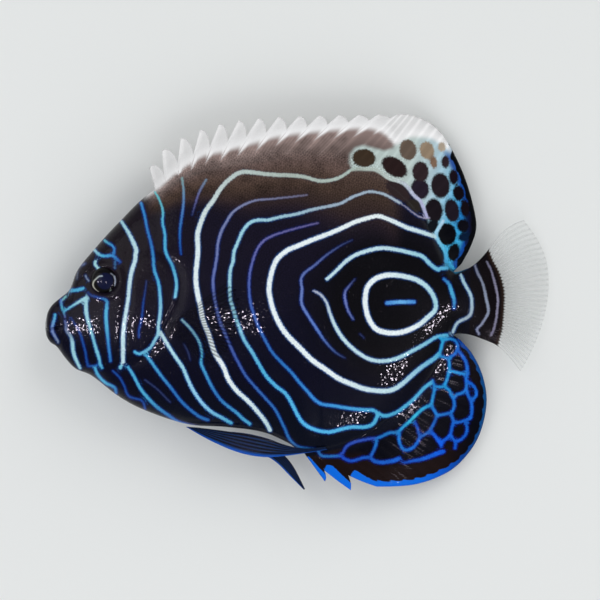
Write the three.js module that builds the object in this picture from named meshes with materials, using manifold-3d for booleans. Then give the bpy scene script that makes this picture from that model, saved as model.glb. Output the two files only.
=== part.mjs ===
// A juvenile emperor angelfish as a still, life-size model that lies on its right flank.
// Units are millimetres, +Z is up. +X runs from the snout to the tail, +Y from the belly to the
// back, and the left flank faces up.
// The fish is drawn in plan, seen from straight above, on a grid of 600 by 600 squares of PX
// millimetres whose rows count down from the top. Its heights are the half thickness of the body
// and fins on either side of their middle plane, and the height of that plane.
import * as THREE from "three";
import { mergeVertices } from "three/addons/utils/BufferGeometryUtils.js";
import Module from "manifold-3d";

const wasm = await Module();
wasm.setup();

// Size of the whole fish, and the gap between sub-parts that touch
const TOTAL_LENGTH = 111.5;
const SNOUT_TO_TAIL_END = 507;
const PX = TOTAL_LENGTH / SNOUT_TO_TAIL_END;
const PLAN_MIDDLE = 300;
const GAP = 0.3;

// Height of the middle plane: level along the body, lower towards the tail and the fins' edges
const LEVEL = 8.9;
const TAIL_DROOP = { from: 380, to: 552, drop: 8.3 };
const FIN_SAG = { spiny: 1.4, soft: 3.4, softFrom: 200, softTo: 420, reach: 70 };

// Webs of the fins and the ridges that their spines and rays make on both faces
const WEB_HALF = 0.28;
const RAY_RISE = 0.26;
const FIN_ROOT_REACH = 14;
const ROOT_CLEARANCE = (1.25 * GAP) / PX;

// Outline of the body from the lips to the end of the tail fin, without the other fins
const BACK_EDGE = [
  [45, 326], [47, 314], [52, 305], [60, 298], [70, 289], [77, 271], [90, 254], [118, 223],
  [153, 191], [205, 169], [268, 158.5], [332, 161], [360, 168.5], [385, 181.5], [410, 203],
  [430, 230], [443, 254], [452, 270], [462, 270.5], [478, 262], [500, 236], [515, 224], [527, 219], [552, 219],
];
const BELLY_EDGE = [
  [45, 326], [46, 334], [50, 342], [57, 347], [66, 359], [76, 369], [92, 376], [118, 396],
  [144, 410], [186, 424], [225, 427], [262, 432], [288, 443], [304, 453], [328, 448], [352, 440],
  [380, 424], [408, 402], [430, 376], [445, 350], [453, 336], [465, 334], [480, 338], [497, 345],
  [512, 358], [523, 372], [552, 372],
];
const WIDEST_LINE = [[45, 327], [80, 325], [120, 318], [200, 308], [300, 302], [400, 300], [552, 300]];

// Half thickness along the widest line and at both edges, and how full each side is
const BODY_HALF = [
  [45, 0.8], [50, 2], [60, 2.9], [72, 3.9], [88, 5.2], [104, 6.3], [125, 7.4], [150, 8.1],
  [180, 8.8], [210, 9.25], [245, 9.35], [280, 9.15], [320, 8.3], [360, 7], [400, 5.5], [435, 4.1],
  [455, 3.3], [475, 2.3], [490, 1.4], [505, 0.6], [520, 0.3], [552, 0.28],
];
const BACK_RIM = [
  [45, 0.28], [140, 0.3], [165, 0.9], [200, 1.25], [300, 1.35], [400, 1.2], [450, 0.9],
  [470, 0.7], [505, 0.3], [552, 0.28],
];
const BELLY_RIM = [
  [45, 0.28], [270, 0.3], [310, 1.1], [400, 1.2], [450, 0.9], [470, 0.7], [505, 0.3], [552, 0.28],
];
const BACK_FULLNESS = [[45, 0.5], [120, 0.52], [200, 0.66], [300, 0.78], [450, 0.8], [552, 0.9]];
const BELLY_FULLNESS = [[45, 0.5], [200, 0.56], [300, 0.68], [350, 0.78], [552, 0.9]];
const FLANK_POWER = 2.2;

// Lines where the body parts: the free edge of the gill covers, the lips, the mouth, the tail stalk
const GILL_EDGE = [
  [148, 176], [151, 205], [153, 232], [158, 252], [170, 261], [179, 277], [179, 299], [170, 319],
  [160, 338], [147, 352], [129, 364], [112, 376], [98, 398],
];
const LIP_EDGE = [[56, 286], [60, 300], [63, 312], [61.5, 327], [60.5, 338], [56, 360]];
const MOUTH_LINE = [[40, 330], [52, 329.5], [61.5, 327]];
const STALK_FROM = 450;
const STALK_TO = 468;
const BODY_COLUMNS = 42;
const BODY_ROWS = 20;

// Head: eyes, nostrils, gill covers and a thorn at the corner of each cheek
const EYE = { at: [103.5, 282], radius: 2.9, flatness: 0.72, stands: 0.85, rimRise: 0.35 };
const NOSTRILS = { at: [[83.5, 277.5], [88, 272.5]], radius: 0.3, depth: 0.8 };
const LIP_SWELL = { at: 50, reach: 7, rise: 0.35, mouth: 329, mouthReach: 3.5 };
const GILL_COVER = {
  outline: [[131, 262], [152, 258], [168, 268], [174, 288], [166, 313], [154, 336], [129, 357], [126, 310]],
  thickness: 1,
};
const GILL_STEP = { from: 252, to: 380, proud: 0.4, proudReach: 30, sunk: 0.35, sunkReach: 8 };
const CHEEK_THORN = { from: [122.5, 357], to: [119.5, 370], root: 0.6, tip: 0.12, stands: 0.45 };

// Back fin: fourteen spines with a notched web, then soft rays with a rounded edge
const DORSAL = {
  spines: 14,
  baseX: [[0, 155], [4, 205], [8, 268], [13, 346.5]],
  tipX: [[0, 149], [1, 162], [3, 200], [6, 258], [9, 319], [13, 398]],
  tipY: [[0, 168], [1, 150], [2, 138], [4, 123.5], [7, 116.5], [13, 113]],
  webNotch: { first: 0.36, last: 0.92, shares: [[0.4, 0.06], [0.64, 0.3], [0.88, 1]] },
  rays: 18,
  raysFrom: 348.5,
  raysTo: 446,
  edge: [
    [400, 113], [419, 115.5], [434, 123], [446, 135], [456, 153], [466, 175], [474, 201],
    [478, 226], [469, 247], [458, 264],
  ],
};
// Anal fin: three spines, then soft rays
const ANAL = {
  baseX: [304, 314, 325],
  tips: [[325, 482], [351, 491], [377, 487.5]],
  webNotch: { first: 0.53, last: 0.65, shares: [[0.25, 0.5], [0.5, 1], [0.75, 0.5]] },
  rays: 18,
  raysTo: 446,
  edge: [
    [377, 487.5], [415, 486], [434, 481], [453, 472], [468, 458.5], [480, 441], [487, 420],
    [489, 398], [484, 375], [473, 354], [457, 340],
  ],
};
const MEDIAN_FIN_ROWS = 5;
// Tail fin: rays that spread from a hub inside the tail stalk. Angles are in degrees.
const TAIL = {
  hub: [415, 301],
  rays: 16,
  rows: 7,
  upper: [[60, 32], [74, 31.8], [107, 37.4], [126, 37.6], [139, 36.2]],
  lower: [[60, 31.5], [75, 29.6], [93, 28.2], [112, 30.5], [129, 33.4]],
  reach: [[-34, 129], [-22, 130], [-10, 133], [5, 138], [19, 141.5], [35, 138.5]],
  ridgesFrom: 478,
};
// Breast fins: fans that hug the flanks behind the gill covers
const PECTORAL = {
  hub: [166, 327],
  root: { left: 8, right: 13 },
  low: -42,
  high: 35,
  rays: 11,
  rows: 4,
  reach: [[-42, 50], [-37, 57], [-20, 67], [0, 74], [20, 79], [30, 80], [35, 74]],
  thickness: 0.52,
  ridge: 0.1,
  tipLift: 0.4,
};
// Hollow in the underside that the right breast fin lies in
const FIN_BED = { at: [212, 318], wide: 46, tall: 52, rim: 0.22, height: 0.9, behindGill: 7 };
// Belly fins: a spine in front and five rays behind it, folded back along the belly
const PELVIC_RAYS = 5;
const PELVIC_ROWS = 10;
const PELVIC = {
  left: {
    lead: [[186, 426.5], [210, 440], [237, 451.5], [262, 456.5], [285, 455.5], [306, 452.5], [327, 449]],
    trail: [[199, 428], [222, 430.5], [246, 433], [266, 437.5], [284, 444], [303, 448], [326, 446.5]],
    side: 1,
    height: 1.15,
    spread: 0.6,
  },
  right: {
    lead: [[186, 427], [212, 440], [240, 450.5], [262, 455.5], [276, 463], [290, 477], [304, 491]],
    trail: [[199, 428], [222, 431], [244, 434.5], [263, 440.5], [283, 455], [294, 468.5], [305, 490]],
    side: -1,
    height: 1.2,
    spread: 1.6,
  },
};

// Curves through points, and a value that is looked up by its first coordinate
const { clamp, lerp, mapLinear, degToRad } = THREE.MathUtils;
const curve = (points) => new THREE.SplineCurve(points.map(([x, y]) => new THREE.Vector2(x, y)));
const SAMPLES = 200;
function lookup(points) {
  const line = curve(points).getPoints(SAMPLES);
  return (x) => {
    const i = line.findIndex((p) => p.x >= x);
    if (i === 0) return line[0].y;
    if (i < 0) return line[SAMPLES].y;
    return mapLinear(x, line[i - 1].x, line[i].x, line[i - 1].y, line[i].y);
  };
}
const mix = (a, b, t) => [lerp(a[0], b[0], t), lerp(a[1], b[1], t)];
const bell = (distance, reach) => Math.exp(-((distance / reach) ** 2));

const backEdge = lookup(BACK_EDGE);
const bellyEdge = lookup(BELLY_EDGE);
const widestLine = lookup(WIDEST_LINE);
const bodyHalf = lookup(BODY_HALF);
const backRim = lookup(BACK_RIM);
const bellyRim = lookup(BELLY_RIM);
const backFullness = lookup(BACK_FULLNESS);
const bellyFullness = lookup(BELLY_FULLNESS);

// Points at even steps along a stretch of the back or belly edge
function stretch(edge, fromX, toX, count) {
  const line = new THREE.SplineCurve();
  for (let i = 0; i <= 60; i++) {
    const x = lerp(fromX, toX, i / 60);
    line.points.push(new THREE.Vector2(x, edge(x)));
  }
  return line.getSpacedPoints(count - 1);
}
const backLine = stretch(backEdge, 150, 452, 60);
const bellyLine = stretch(bellyEdge, 304, 453, 45);
const gillLine = curve(GILL_EDGE).getPoints(48);

function distanceTo(line, px, py) {
  let least = Infinity;
  for (let i = 1; i < line.length; i++) {
    const a = line[i - 1];
    const b = line[i];
    const run = (px - a.x) * (b.x - a.x) + (py - a.y) * (b.y - a.y);
    const t = clamp(run / a.distanceToSquared(b), 0, 1);
    least = Math.min(least, Math.hypot(px - lerp(a.x, b.x, t), py - lerp(a.y, b.y, t)));
  }
  return least;
}
// The gill edge runs down the fish, so a point is on the head where it lies left of it
function gillEdgeX(py) {
  const i = gillLine.findIndex((p) => p.y >= py);
  if (i < 1) return gillLine[0].x;
  const a = gillLine[i - 1];
  const b = gillLine[i];
  return mapLinear(py, a.y, b.y, a.x, b.x);
}

// Relief of the skin: the gill cover's raised edge, the rim of the eye and the swell of the lips
function gillStep(px, py) {
  if (py < GILL_STEP.from || py > GILL_STEP.to) return 0;
  const fade = Math.min(1, (py - GILL_STEP.from) / 12, (GILL_STEP.to - py) / 18);
  const distance = distanceTo(gillLine, px, py);
  if (px < gillEdgeX(py)) return fade * GILL_STEP.proud * bell(distance, GILL_STEP.proudReach);
  return -fade * GILL_STEP.sunk * bell(distance, GILL_STEP.sunkReach);
}
function eyeRim(px, py) {
  const r = Math.hypot(px - EYE.at[0], py - EYE.at[1]) * PX;
  return EYE.rimRise * bell(r - EYE.radius - 0.5, 0.8);
}
function lipSwell(px, py) {
  const lips = LIP_SWELL.rise * bell(px - LIP_SWELL.at, LIP_SWELL.reach);
  return lips * (1 - bell(py - LIP_SWELL.mouth, LIP_SWELL.mouthReach));
}

// Half thickness of the body at a point in plan
function bodyHalfAt(px, py) {
  const middle = widestLine(px);
  const up = py < middle;
  const edge = (up ? backEdge : bellyEdge)(px);
  const rim = (up ? backRim : bellyRim)(px);
  const fullness = (up ? backFullness : bellyFullness)(px);
  const across = clamp((py - middle) / (edge - middle), 0, 1);
  const flesh = (1 - across ** FLANK_POWER) ** fullness;
  const relief = px < 200 ? gillStep(px, py) + eyeRim(px, py) + lipSwell(px, py) : 0;
  return rim + Math.max(bodyHalf(px) - rim, 0) * flesh + relief * Math.min(1, flesh * 2);
}
// How far a point is out on the back fin or the anal fin
function outOnFin(px, py) {
  const onTail = px > 453 && py > 268 && py < 338;
  const onBody = px <= 453 && py >= backEdge(px) && py <= bellyEdge(px);
  if (onTail || onBody) return 0;
  return distanceTo(py < PLAN_MIDDLE ? backLine : bellyLine, px, py);
}
function tailPlane(px) {
  const along = clamp((px - TAIL_DROOP.from) / (TAIL_DROOP.to - TAIL_DROOP.from), 0, 1);
  return LEVEL - TAIL_DROOP.drop * along ** 2;
}
function middlePlane(px, py) {
  const soft = clamp((px - FIN_SAG.softFrom) / (FIN_SAG.softTo - FIN_SAG.softFrom), 0, 1);
  const sag = lerp(FIN_SAG.spiny, FIN_SAG.soft, soft);
  return tailPlane(px) - sag * (outOnFin(px, py) / FIN_SAG.reach) ** 1.5;
}
function finBed(px, py) {
  const r = Math.hypot((px - FIN_BED.at[0]) / FIN_BED.wide, (py - FIN_BED.at[1]) / FIN_BED.tall);
  const inside = clamp((1 + FIN_BED.rim - r) / FIN_BED.rim, 0, 1);
  return FIN_BED.height * inside * clamp((px - gillEdgeX(py)) / FIN_BED.behindGill, 0, 1);
}
const flankTop = (px, py) => middlePlane(px, py) + bodyHalfAt(px, py);
const flankBottom = (px, py) => Math.max(middlePlane(px, py) - bodyHalfAt(px, py), finBed(px, py), 0);
const flank = (side) => (side > 0 ? flankTop : flankBottom);
const place = (px, py, z) => [(px - PLAN_MIDDLE) * PX, (PLAN_MIDDLE - py) * PX, z];

// A closed solid over a grid of columns and rows in plan, with a top and a bottom height.
// Both faces are split into triangles alike.
function slab(columns, rows, plan, top, bottom) {
  const points = [];
  const faces = [];
  for (let i = 0; i <= columns; i++)
    for (let j = 0; j <= rows; j++) {
      const [px, py] = plan(i, j);
      points.push(...place(px, py, top(px, py, i, j)));
      points.push(...place(px, py, bottom(px, py, i, j)));
    }
  const up = (i, j) => 2 * (i * (rows + 1) + j);
  const low = (i, j) => up(i, j) + 1;
  for (let i = 0; i < columns; i++)
    for (let j = 0; j < rows; j++) {
      faces.push(up(i, j), up(i + 1, j), up(i + 1, j + 1), up(i, j), up(i + 1, j + 1), up(i, j + 1));
      faces.push(low(i, j), low(i + 1, j + 1), low(i + 1, j), low(i, j), low(i, j + 1), low(i + 1, j + 1));
    }
  const rim = [];
  for (let i = 0; i < columns; i++) rim.push([i, 0]);
  for (let j = 0; j < rows; j++) rim.push([columns, j]);
  for (let i = columns; i > 0; i--) rim.push([i, rows]);
  for (let j = rows; j > 0; j--) rim.push([0, j]);
  rim.forEach((a, k) => {
    const b = rim[(k + 1) % rim.length];
    faces.push(low(...a), low(...b), up(...b), low(...a), up(...b), up(...a));
  });
  const geometry = new THREE.BufferGeometry();
  geometry.setAttribute("position", new THREE.Float32BufferAttribute(points, 3));
  geometry.setIndex(faces);
  if (solidOf(geometry).volume() < 0) geometry.index.array.reverse();
  return geometry;
}
function solidOf(geometry) {
  const bare = geometry.clone();
  bare.deleteAttribute("normal");
  bare.deleteAttribute("uv");
  const merged = mergeVertices(bare, 1e-4);
  return new wasm.Manifold(new wasm.Mesh({
    numProp: 3,
    vertProperties: merged.attributes.position.array,
    triVerts: new Uint32Array(merged.index.array),
  }));
}
function geometryOf(solid) {
  const mesh = solid.getMesh();
  const geometry = new THREE.BufferGeometry();
  const points = [];
  for (let i = 0; i < mesh.numVert; i++)
    points.push(...mesh.vertProperties.subarray(i * mesh.numProp, i * mesh.numProp + 3));
  geometry.setAttribute("position", new THREE.Float32BufferAttribute(points, 3));
  geometry.setIndex([...mesh.triVerts]);
  return geometry;
}
const largest = (solid) => solid.decompose().sort((a, b) => b.volume() - a.volume())[0];

// The body is one grid over its outline, from the lips to the end of the tail stalk
function bodyPlan(i, j) {
  const px = lerp(BACK_EDGE[0][0] + 0.3, STALK_TO, (i / BODY_COLUMNS) ** 1.2);
  const across = Math.sin((((2 * j) / BODY_ROWS - 1) * Math.PI) / 2);
  const edge = (across > 0 ? bellyEdge : backEdge)(px);
  return [px, lerp(widestLine(px), edge, Math.abs(across))];
}
const wholeBody = () => solidOf(slab(BODY_COLUMNS, BODY_ROWS, bodyPlan, flankTop, flankBottom));
// What is left of the body when a layer of this depth is taken off both flanks
function bodyCore(depth) {
  const half = (px, py) => Math.max(bodyHalfAt(px, py) - depth, 0.1);
  return solidOf(slab(BODY_COLUMNS, BODY_ROWS, bodyPlan,
    (px, py) => middlePlane(px, py) + half(px, py),
    (px, py) => middlePlane(px, py) - half(px, py)));
}
const SKY = 40;
function prism(outline) {
  const shape = new THREE.Shape(outline.map(([px, py]) => new THREE.Vector2(...place(px, py, 0))));
  const geometry = new THREE.ExtrudeGeometry(shape, { depth: 2 * SKY, bevelEnabled: false });
  return solidOf(geometry.translate(0, 0, -SKY));
}
// A wall as thick as the gap, along a line in plan
function wall(points, steps) {
  const line = curve(points);
  const left = [];
  const right = [];
  for (let i = 0; i <= steps; i++) {
    const p = line.getPoint(i / steps);
    const across = line.getTangent(i / steps).multiplyScalar(GAP / 2 / PX);
    left.push([p.x - across.y, p.y + across.x]);
    right.unshift([p.x + across.y, p.y - across.x]);
  }
  return prism([...left, ...right]);
}
function eyeBall(side, extra = 0) {
  const depth = EYE.radius * EYE.flatness;
  const z = flank(side)(...EYE.at) - side * (depth - EYE.stands);
  return new THREE.SphereGeometry(EYE.radius + extra, 18, 10)
    .rotateX(Math.PI / 2)
    .scale(1, 1, (depth + extra) / (EYE.radius + extra))
    .translate(...place(...EYE.at, z));
}
function cheekThorn(side) {
  const { from, to, root, tip, stands } = CHEEK_THORN;
  const start = new THREE.Vector3(...place(...from, flank(side)(...from) - side * root / 2));
  const end = new THREE.Vector3(...place(...to, flank(side)(...to) + side * stands));
  const along = end.clone().sub(start);
  const turn = new THREE.Quaternion().setFromUnitVectors(new THREE.Vector3(0, 1, 0), along.clone().normalize());
  return solidOf(new THREE.CylinderGeometry(tip, root, along.length(), 8)
    .applyQuaternion(turn)
    .translate(...start.lerp(end, 0.5).toArray()));
}
function nostril(side, at) {
  const { radius, depth } = NOSTRILS;
  return solidOf(new THREE.CylinderGeometry(radius, radius, 2 * depth, 8)
    .rotateX(Math.PI / 2)
    .translate(...place(...at, flank(side)(...at))));
}
// Outline of the gill cover, made wider all round by the gap where asked
function gillCoverOutline(extra) {
  const loop = new THREE.CatmullRomCurve3(GILL_COVER.outline.map((p) => new THREE.Vector3(...p, 0)), true);
  return loop.getPoints(26).slice(0, -1).map((p, i) => {
    const along = loop.getTangent(i / 26);
    return [p.x + along.y * (extra / PX), p.y - along.x * (extra / PX)];
  });
}
function halfSpace(side) {
  const box = new THREE.BoxGeometry(2 * PLAN_MIDDLE, 2 * PLAN_MIDDLE, SKY);
  return solidOf(box.translate(0, 0, LEVEL + (side * SKY) / 2));
}

// Parts the body along its lines, then takes the gill covers out of the head
function bodyNodes() {
  const stalkEdge = [[STALK_FROM, 250], [STALK_FROM, 300], [STALK_FROM, 350]];
  const walls = [wall(GILL_EDGE, 26), wall(LIP_EDGE, 8), wall(MOUTH_LINE, 4), wall(stalkEdge, 2)];
  const nodes = {};
  for (const piece of wholeBody().subtract(wasm.Manifold.union(walls)).decompose()) {
    if (piece.volume() < 0.5) continue;
    const { min, max } = piece.boundingBox();
    const px = (min[0] + max[0]) / 2 / PX + PLAN_MIDDLE;
    const above = (min[1] + max[1]) / 2 > place(0, LIP_SWELL.mouth, 0)[1];
    if (px > 400) nodes.tail_stalk = piece;
    else if (px > 140) nodes.trunk = piece;
    else if (px > 62) nodes.head = piece;
    else nodes[above ? "upper_lip" : "lower_lip"] = piece;
  }
  const coverSpace = prism(gillCoverOutline(0)).subtract(bodyCore(GILL_COVER.thickness));
  nodes.gill_cover_left = largest(nodes.head.intersect(coverSpace).intersect(halfSpace(1)));
  nodes.gill_cover_right = largest(nodes.head.intersect(coverSpace).intersect(halfSpace(-1)));
  const recess = prism(gillCoverOutline(GAP)).subtract(bodyCore(GILL_COVER.thickness + GAP));
  let head = nodes.head.subtract(recess);
  for (const side of [1, -1]) {
    head = head.subtract(solidOf(eyeBall(side, GAP))).add(cheekThorn(side));
    for (const at of NOSTRILS.at) head = head.subtract(nostril(side, at));
  }
  nodes.head = largest(head);
  return nodes;
}

// A fin whose columns run from its root to its edge along the spines and rays
function finSlab(columns, rim) {
  const plan = (i, j) => mix(columns[i].root, columns[i].tip, j / MEDIAN_FIN_ROWS);
  const half = (i, j) => {
    const { root, tip, ridge } = columns[i];
    const out = j / MEDIAN_FIN_ROWS;
    const length = Math.hypot(tip[0] - root[0], tip[1] - root[1]);
    const flesh = Math.max(rim(root[0]) - WEB_HALF, 0) * Math.exp((-out * length) / FIN_ROOT_REACH);
    return WEB_HALF + flesh + RAY_RISE * ridge * Math.min(1, 4 * out) * (1 - 0.4 * out);
  };
  return slab(columns.length - 1, MEDIAN_FIN_ROWS, plan,
    (px, py, i, j) => middlePlane(px, py) + half(i, j),
    (px, py, i, j) => Math.max(middlePlane(px, py) - half(i, j), 0));
}
// The column's root stands off the body by the gap
function column(base, tip, ridge) {
  const length = Math.hypot(tip[0] - base[0], tip[1] - base[1]);
  return { root: mix(base, tip, ROOT_CLEARANCE / length), tip, ridge };
}
// Spines with a notched web between them. Each of the notch's shares is a place from one spine to
// the next and the depth there, from 0 for no notch to 1 for its full depth.
function spinyColumns(bases, tips, webNotch) {
  const columns = [];
  bases.forEach((base, i) => {
    columns.push(column(base, tips[i], 1));
    if (i === bases.length - 1) return;
    const share = i / (bases.length - 2);
    const lowest = lerp(webNotch.first, webNotch.last, share);
    for (const [t, depth] of webNotch.shares) {
      const from = mix(base, bases[i + 1], t);
      const reach = lerp(1, lowest, depth);
      columns.push(column(from, mix(from, mix(tips[i], tips[i + 1], t), reach), 0));
    }
  });
  return columns;
}
function softColumns(bases, edge) {
  const tips = curve(edge).getPoints(bases.length - 1);
  return bases.map((base, k) => column(base.toArray(), tips[k].toArray(), k % 2 ? 0 : 1));
}
function backFin() {
  const baseX = lookup(DORSAL.baseX);
  const tipX = lookup(DORSAL.tipX);
  const tipY = lookup(DORSAL.tipY);
  const bases = [];
  const tips = [];
  for (let i = 0; i < DORSAL.spines; i++) {
    bases.push([baseX(i), backEdge(baseX(i))]);
    tips.push([tipX(i), tipY(i)]);
  }
  const softBases = stretch(backEdge, DORSAL.raysFrom, DORSAL.raysTo, 2 * DORSAL.rays + 1);
  return {
    spiny: finSlab(spinyColumns(bases, tips, DORSAL.webNotch), backRim),
    soft: finSlab(softColumns(softBases, DORSAL.edge), backRim),
  };
}
function analFin() {
  const bases = ANAL.baseX.map((x) => [x, bellyEdge(x)]);
  const softBases = stretch(bellyEdge, ANAL.baseX[2], ANAL.raysTo, 2 * ANAL.rays + 1);
  const spiny = spinyColumns(bases, ANAL.tips, ANAL.webNotch);
  return finSlab([...spiny, ...softColumns(softBases, ANAL.edge).slice(1)], bellyRim);
}
function tailFin() {
  const upper = lookup(TAIL.upper);
  const lower = lookup(TAIL.lower);
  const reach = lookup(TAIL.reach);
  const root = STALK_TO + GAP / PX - TAIL.hub[0];
  const plan = (i, j) => {
    const across = i / TAIL.rays - 1;
    const turn = (r) => across * (across > 0 ? upper(r) : lower(r));
    const from = root / Math.cos(degToRad(turn(root)));
    const r = lerp(from, reach(turn(135)), j / TAIL.rows);
    const angle = degToRad(turn(r));
    return [TAIL.hub[0] + r * Math.cos(angle), TAIL.hub[1] - r * Math.sin(angle)];
  };
  const half = (px, py, i, j) => {
    const ridge = i % 2 ? 0 : RAY_RISE * clamp((px - TAIL.ridgesFrom) / 20, 0, 1);
    return Math.max(bodyHalfAt(px, py), WEB_HALF) + ridge * (1 - (0.5 * j) / TAIL.rows);
  };
  return slab(2 * TAIL.rays, TAIL.rows, plan,
    (px, py, i, j) => tailPlane(px) + half(px, py, i, j),
    (px, py, i, j) => Math.max(tailPlane(px) - half(px, py, i, j), 0));
}
function pectoralFin(side) {
  const last = 2 * PECTORAL.rays;
  const reach = lookup(PECTORAL.reach);
  const root = side > 0 ? PECTORAL.root.left : PECTORAL.root.right;
  const plan = (i, j) => {
    const turn = lerp(PECTORAL.low, PECTORAL.high, i / last);
    const scallop = i % 2 ? 0.975 : 1;
    const r = lerp(root, reach(turn) * scallop, j / PECTORAL.rows);
    const angle = degToRad(turn);
    return [PECTORAL.hub[0] + r * Math.cos(angle), PECTORAL.hub[1] - r * Math.sin(angle)];
  };
  const ridge = (i, j) => (i % 2 ? 0 : PECTORAL.ridge * Math.min(1, j / 2));
  const bottom = (px, py, i, j) => {
    if (side < 0) return 0;
    return flankTop(px, py) + 1.2 * GAP + PECTORAL.tipLift * (j / PECTORAL.rows) ** 2;
  };
  const thickness = side > 0 ? PECTORAL.thickness : PECTORAL.thickness - PECTORAL.ridge;
  const top = (px, py, i, j) => bottom(px, py, i, j) + thickness + ridge(i, j);
  return slab(last, PECTORAL.rows, plan, top, bottom);
}
function pelvicFin({ lead, trail, side, height, spread }) {
  const front = curve(lead);
  const back = curve(trail);
  const plan = (i, j) => {
    const a = front.getPoint(i / PELVIC_ROWS).toArray();
    const b = back.getPoint(i / PELVIC_ROWS).toArray();
    return mix(a, b, j / (2 * PELVIC_RAYS));
  };
  const half = (i, j) => {
    const ridge = j === 0 ? 0.22 : 0.12;
    return WEB_HALF + (j % 2 ? 0 : ridge) * (1 - (0.6 * i) / PELVIC_ROWS);
  };
  const centre = (px, py, i) => {
    const free = height + spread * (i / PELVIC_ROWS);
    const clearOfBody = bodyHalfAt(px, Math.min(py, bellyEdge(px))) + GAP + WEB_HALF + 0.22;
    const overBody = clamp((bellyEdge(px) + 3 - py) / 3, 0, 1);
    return LEVEL + side * Math.max(free, lerp(free, clearOfBody, overBody));
  };
  return slab(PELVIC_ROWS, 2 * PELVIC_RAYS, plan,
    (px, py, i, j) => centre(px, py, i) + half(i, j),
    (px, py, i, j) => centre(px, py, i) - half(i, j));
}

// Finishes: the colour of each sub-part as it shows from a step away
const SKIN = { color: 0x0b0c1c, roughness: 0.3 };
const BROWN_WEB = { color: 0x5c4a4a, roughness: 0.45 };
const BLUE_WEB = { color: 0x123a86, roughness: 0.4 };
const CLEAR_WEB = { color: 0xd6d4d0, roughness: 0.35 };
const WET_EYE = { color: 0x06070f, roughness: 0.08 };

const model = new THREE.Group();
function add(name, geometry, finish) {
  const mesh = new THREE.Mesh(geometry, new THREE.MeshStandardMaterial({ ...finish, metalness: 0 }));
  mesh.name = name;
  model.add(mesh);
}
for (const [name, solid] of Object.entries(bodyNodes())) add(name, geometryOf(solid), SKIN);
const dorsal = backFin();
add("spiny_dorsal_fin", dorsal.spiny, BROWN_WEB);
add("soft_dorsal_fin", dorsal.soft, BLUE_WEB);
add("anal_fin", analFin(), BLUE_WEB);
add("tail_fin", tailFin(), CLEAR_WEB);
add("pectoral_fin_left", pectoralFin(1), CLEAR_WEB);
add("pectoral_fin_right", pectoralFin(-1), CLEAR_WEB);
add("pelvic_fin_left", pelvicFin(PELVIC.left), BLUE_WEB);
add("pelvic_fin_right", pelvicFin(PELVIC.right), BLUE_WEB);
add("eye_left", eyeBall(1), WET_EYE);
add("eye_right", eyeBall(-1), WET_EYE);

// The origin is under the middle of the whole fish, on the surface that it lies on
const box = new THREE.Box3().setFromObject(model);
const middle = box.getCenter(new THREE.Vector3());
model.position.set(-middle.x, -middle.y, -box.min.z);

export default model;
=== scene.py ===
# %% [markdown]
# # Emperor angelfish, juvenile
# A still, life-size fish that lies on its right flank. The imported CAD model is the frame. One
# continuous skin with its fins takes the place of the CAD's flesh and unpaired fins, and the eyes
# and the paired fins are pieces of their own.

import math
from functools import partial

import bmesh
import bpy
import numpy as np
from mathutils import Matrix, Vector


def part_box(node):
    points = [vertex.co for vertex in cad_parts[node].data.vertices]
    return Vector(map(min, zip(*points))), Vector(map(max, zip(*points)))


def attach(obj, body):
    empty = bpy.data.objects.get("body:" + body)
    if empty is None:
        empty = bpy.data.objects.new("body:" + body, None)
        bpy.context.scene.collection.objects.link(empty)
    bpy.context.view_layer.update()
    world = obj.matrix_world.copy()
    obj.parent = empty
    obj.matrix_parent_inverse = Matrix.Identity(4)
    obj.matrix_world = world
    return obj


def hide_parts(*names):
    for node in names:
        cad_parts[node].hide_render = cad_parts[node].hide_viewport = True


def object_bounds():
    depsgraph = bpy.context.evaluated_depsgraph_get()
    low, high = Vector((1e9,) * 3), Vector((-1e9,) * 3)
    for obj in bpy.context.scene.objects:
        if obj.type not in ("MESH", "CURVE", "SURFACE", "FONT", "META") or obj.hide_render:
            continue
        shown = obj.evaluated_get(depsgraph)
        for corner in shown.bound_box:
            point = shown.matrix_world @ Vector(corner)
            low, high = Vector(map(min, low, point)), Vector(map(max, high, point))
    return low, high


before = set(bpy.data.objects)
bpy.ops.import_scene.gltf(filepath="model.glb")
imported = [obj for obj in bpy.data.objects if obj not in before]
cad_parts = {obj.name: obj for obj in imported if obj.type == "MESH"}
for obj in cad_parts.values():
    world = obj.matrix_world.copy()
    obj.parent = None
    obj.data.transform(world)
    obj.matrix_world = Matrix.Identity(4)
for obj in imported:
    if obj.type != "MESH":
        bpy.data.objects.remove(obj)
LOW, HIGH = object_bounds()
print("frame of", len(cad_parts), "nodes, from", tuple(LOW), "to", tuple(HIGH))

# %% [markdown]
# ## Plan grid
# The real fish is drawn in plan on a grid of 600 by 600 squares, PX millimetres each, that counts
# down from the top, as in the CAD. Heights are in millimetres above the floor. Millimetres alone
# would do as well, but with one grid for solids, skin and markings the three always agree.

# %% From plan squares to the frame
PX = 111.5 / 507
SNOUT = 45.3
FIN_TOP = 113.0


def to_frame(px, py, z):
    """Plan squares and a height in millimetres as points of the frame, in metres."""
    x = LOW.x + (px - SNOUT) * PX / 1000
    y = HIGH.y - (py - FIN_TOP) * PX / 1000
    return np.stack([x, y, z / 1000], axis=-1)


def to_plan(points):
    """Points of the frame as plan squares and heights in millimetres."""
    px = SNOUT + (points[:, 0] - LOW.x) * 1000 / PX
    py = FIN_TOP + (HIGH.y - points[:, 1]) * 1000 / PX
    return px, py, points[:, 2] * 1000
print("a plan square is", round(PX, 4), "mm")

# %% Curves and fades

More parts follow.
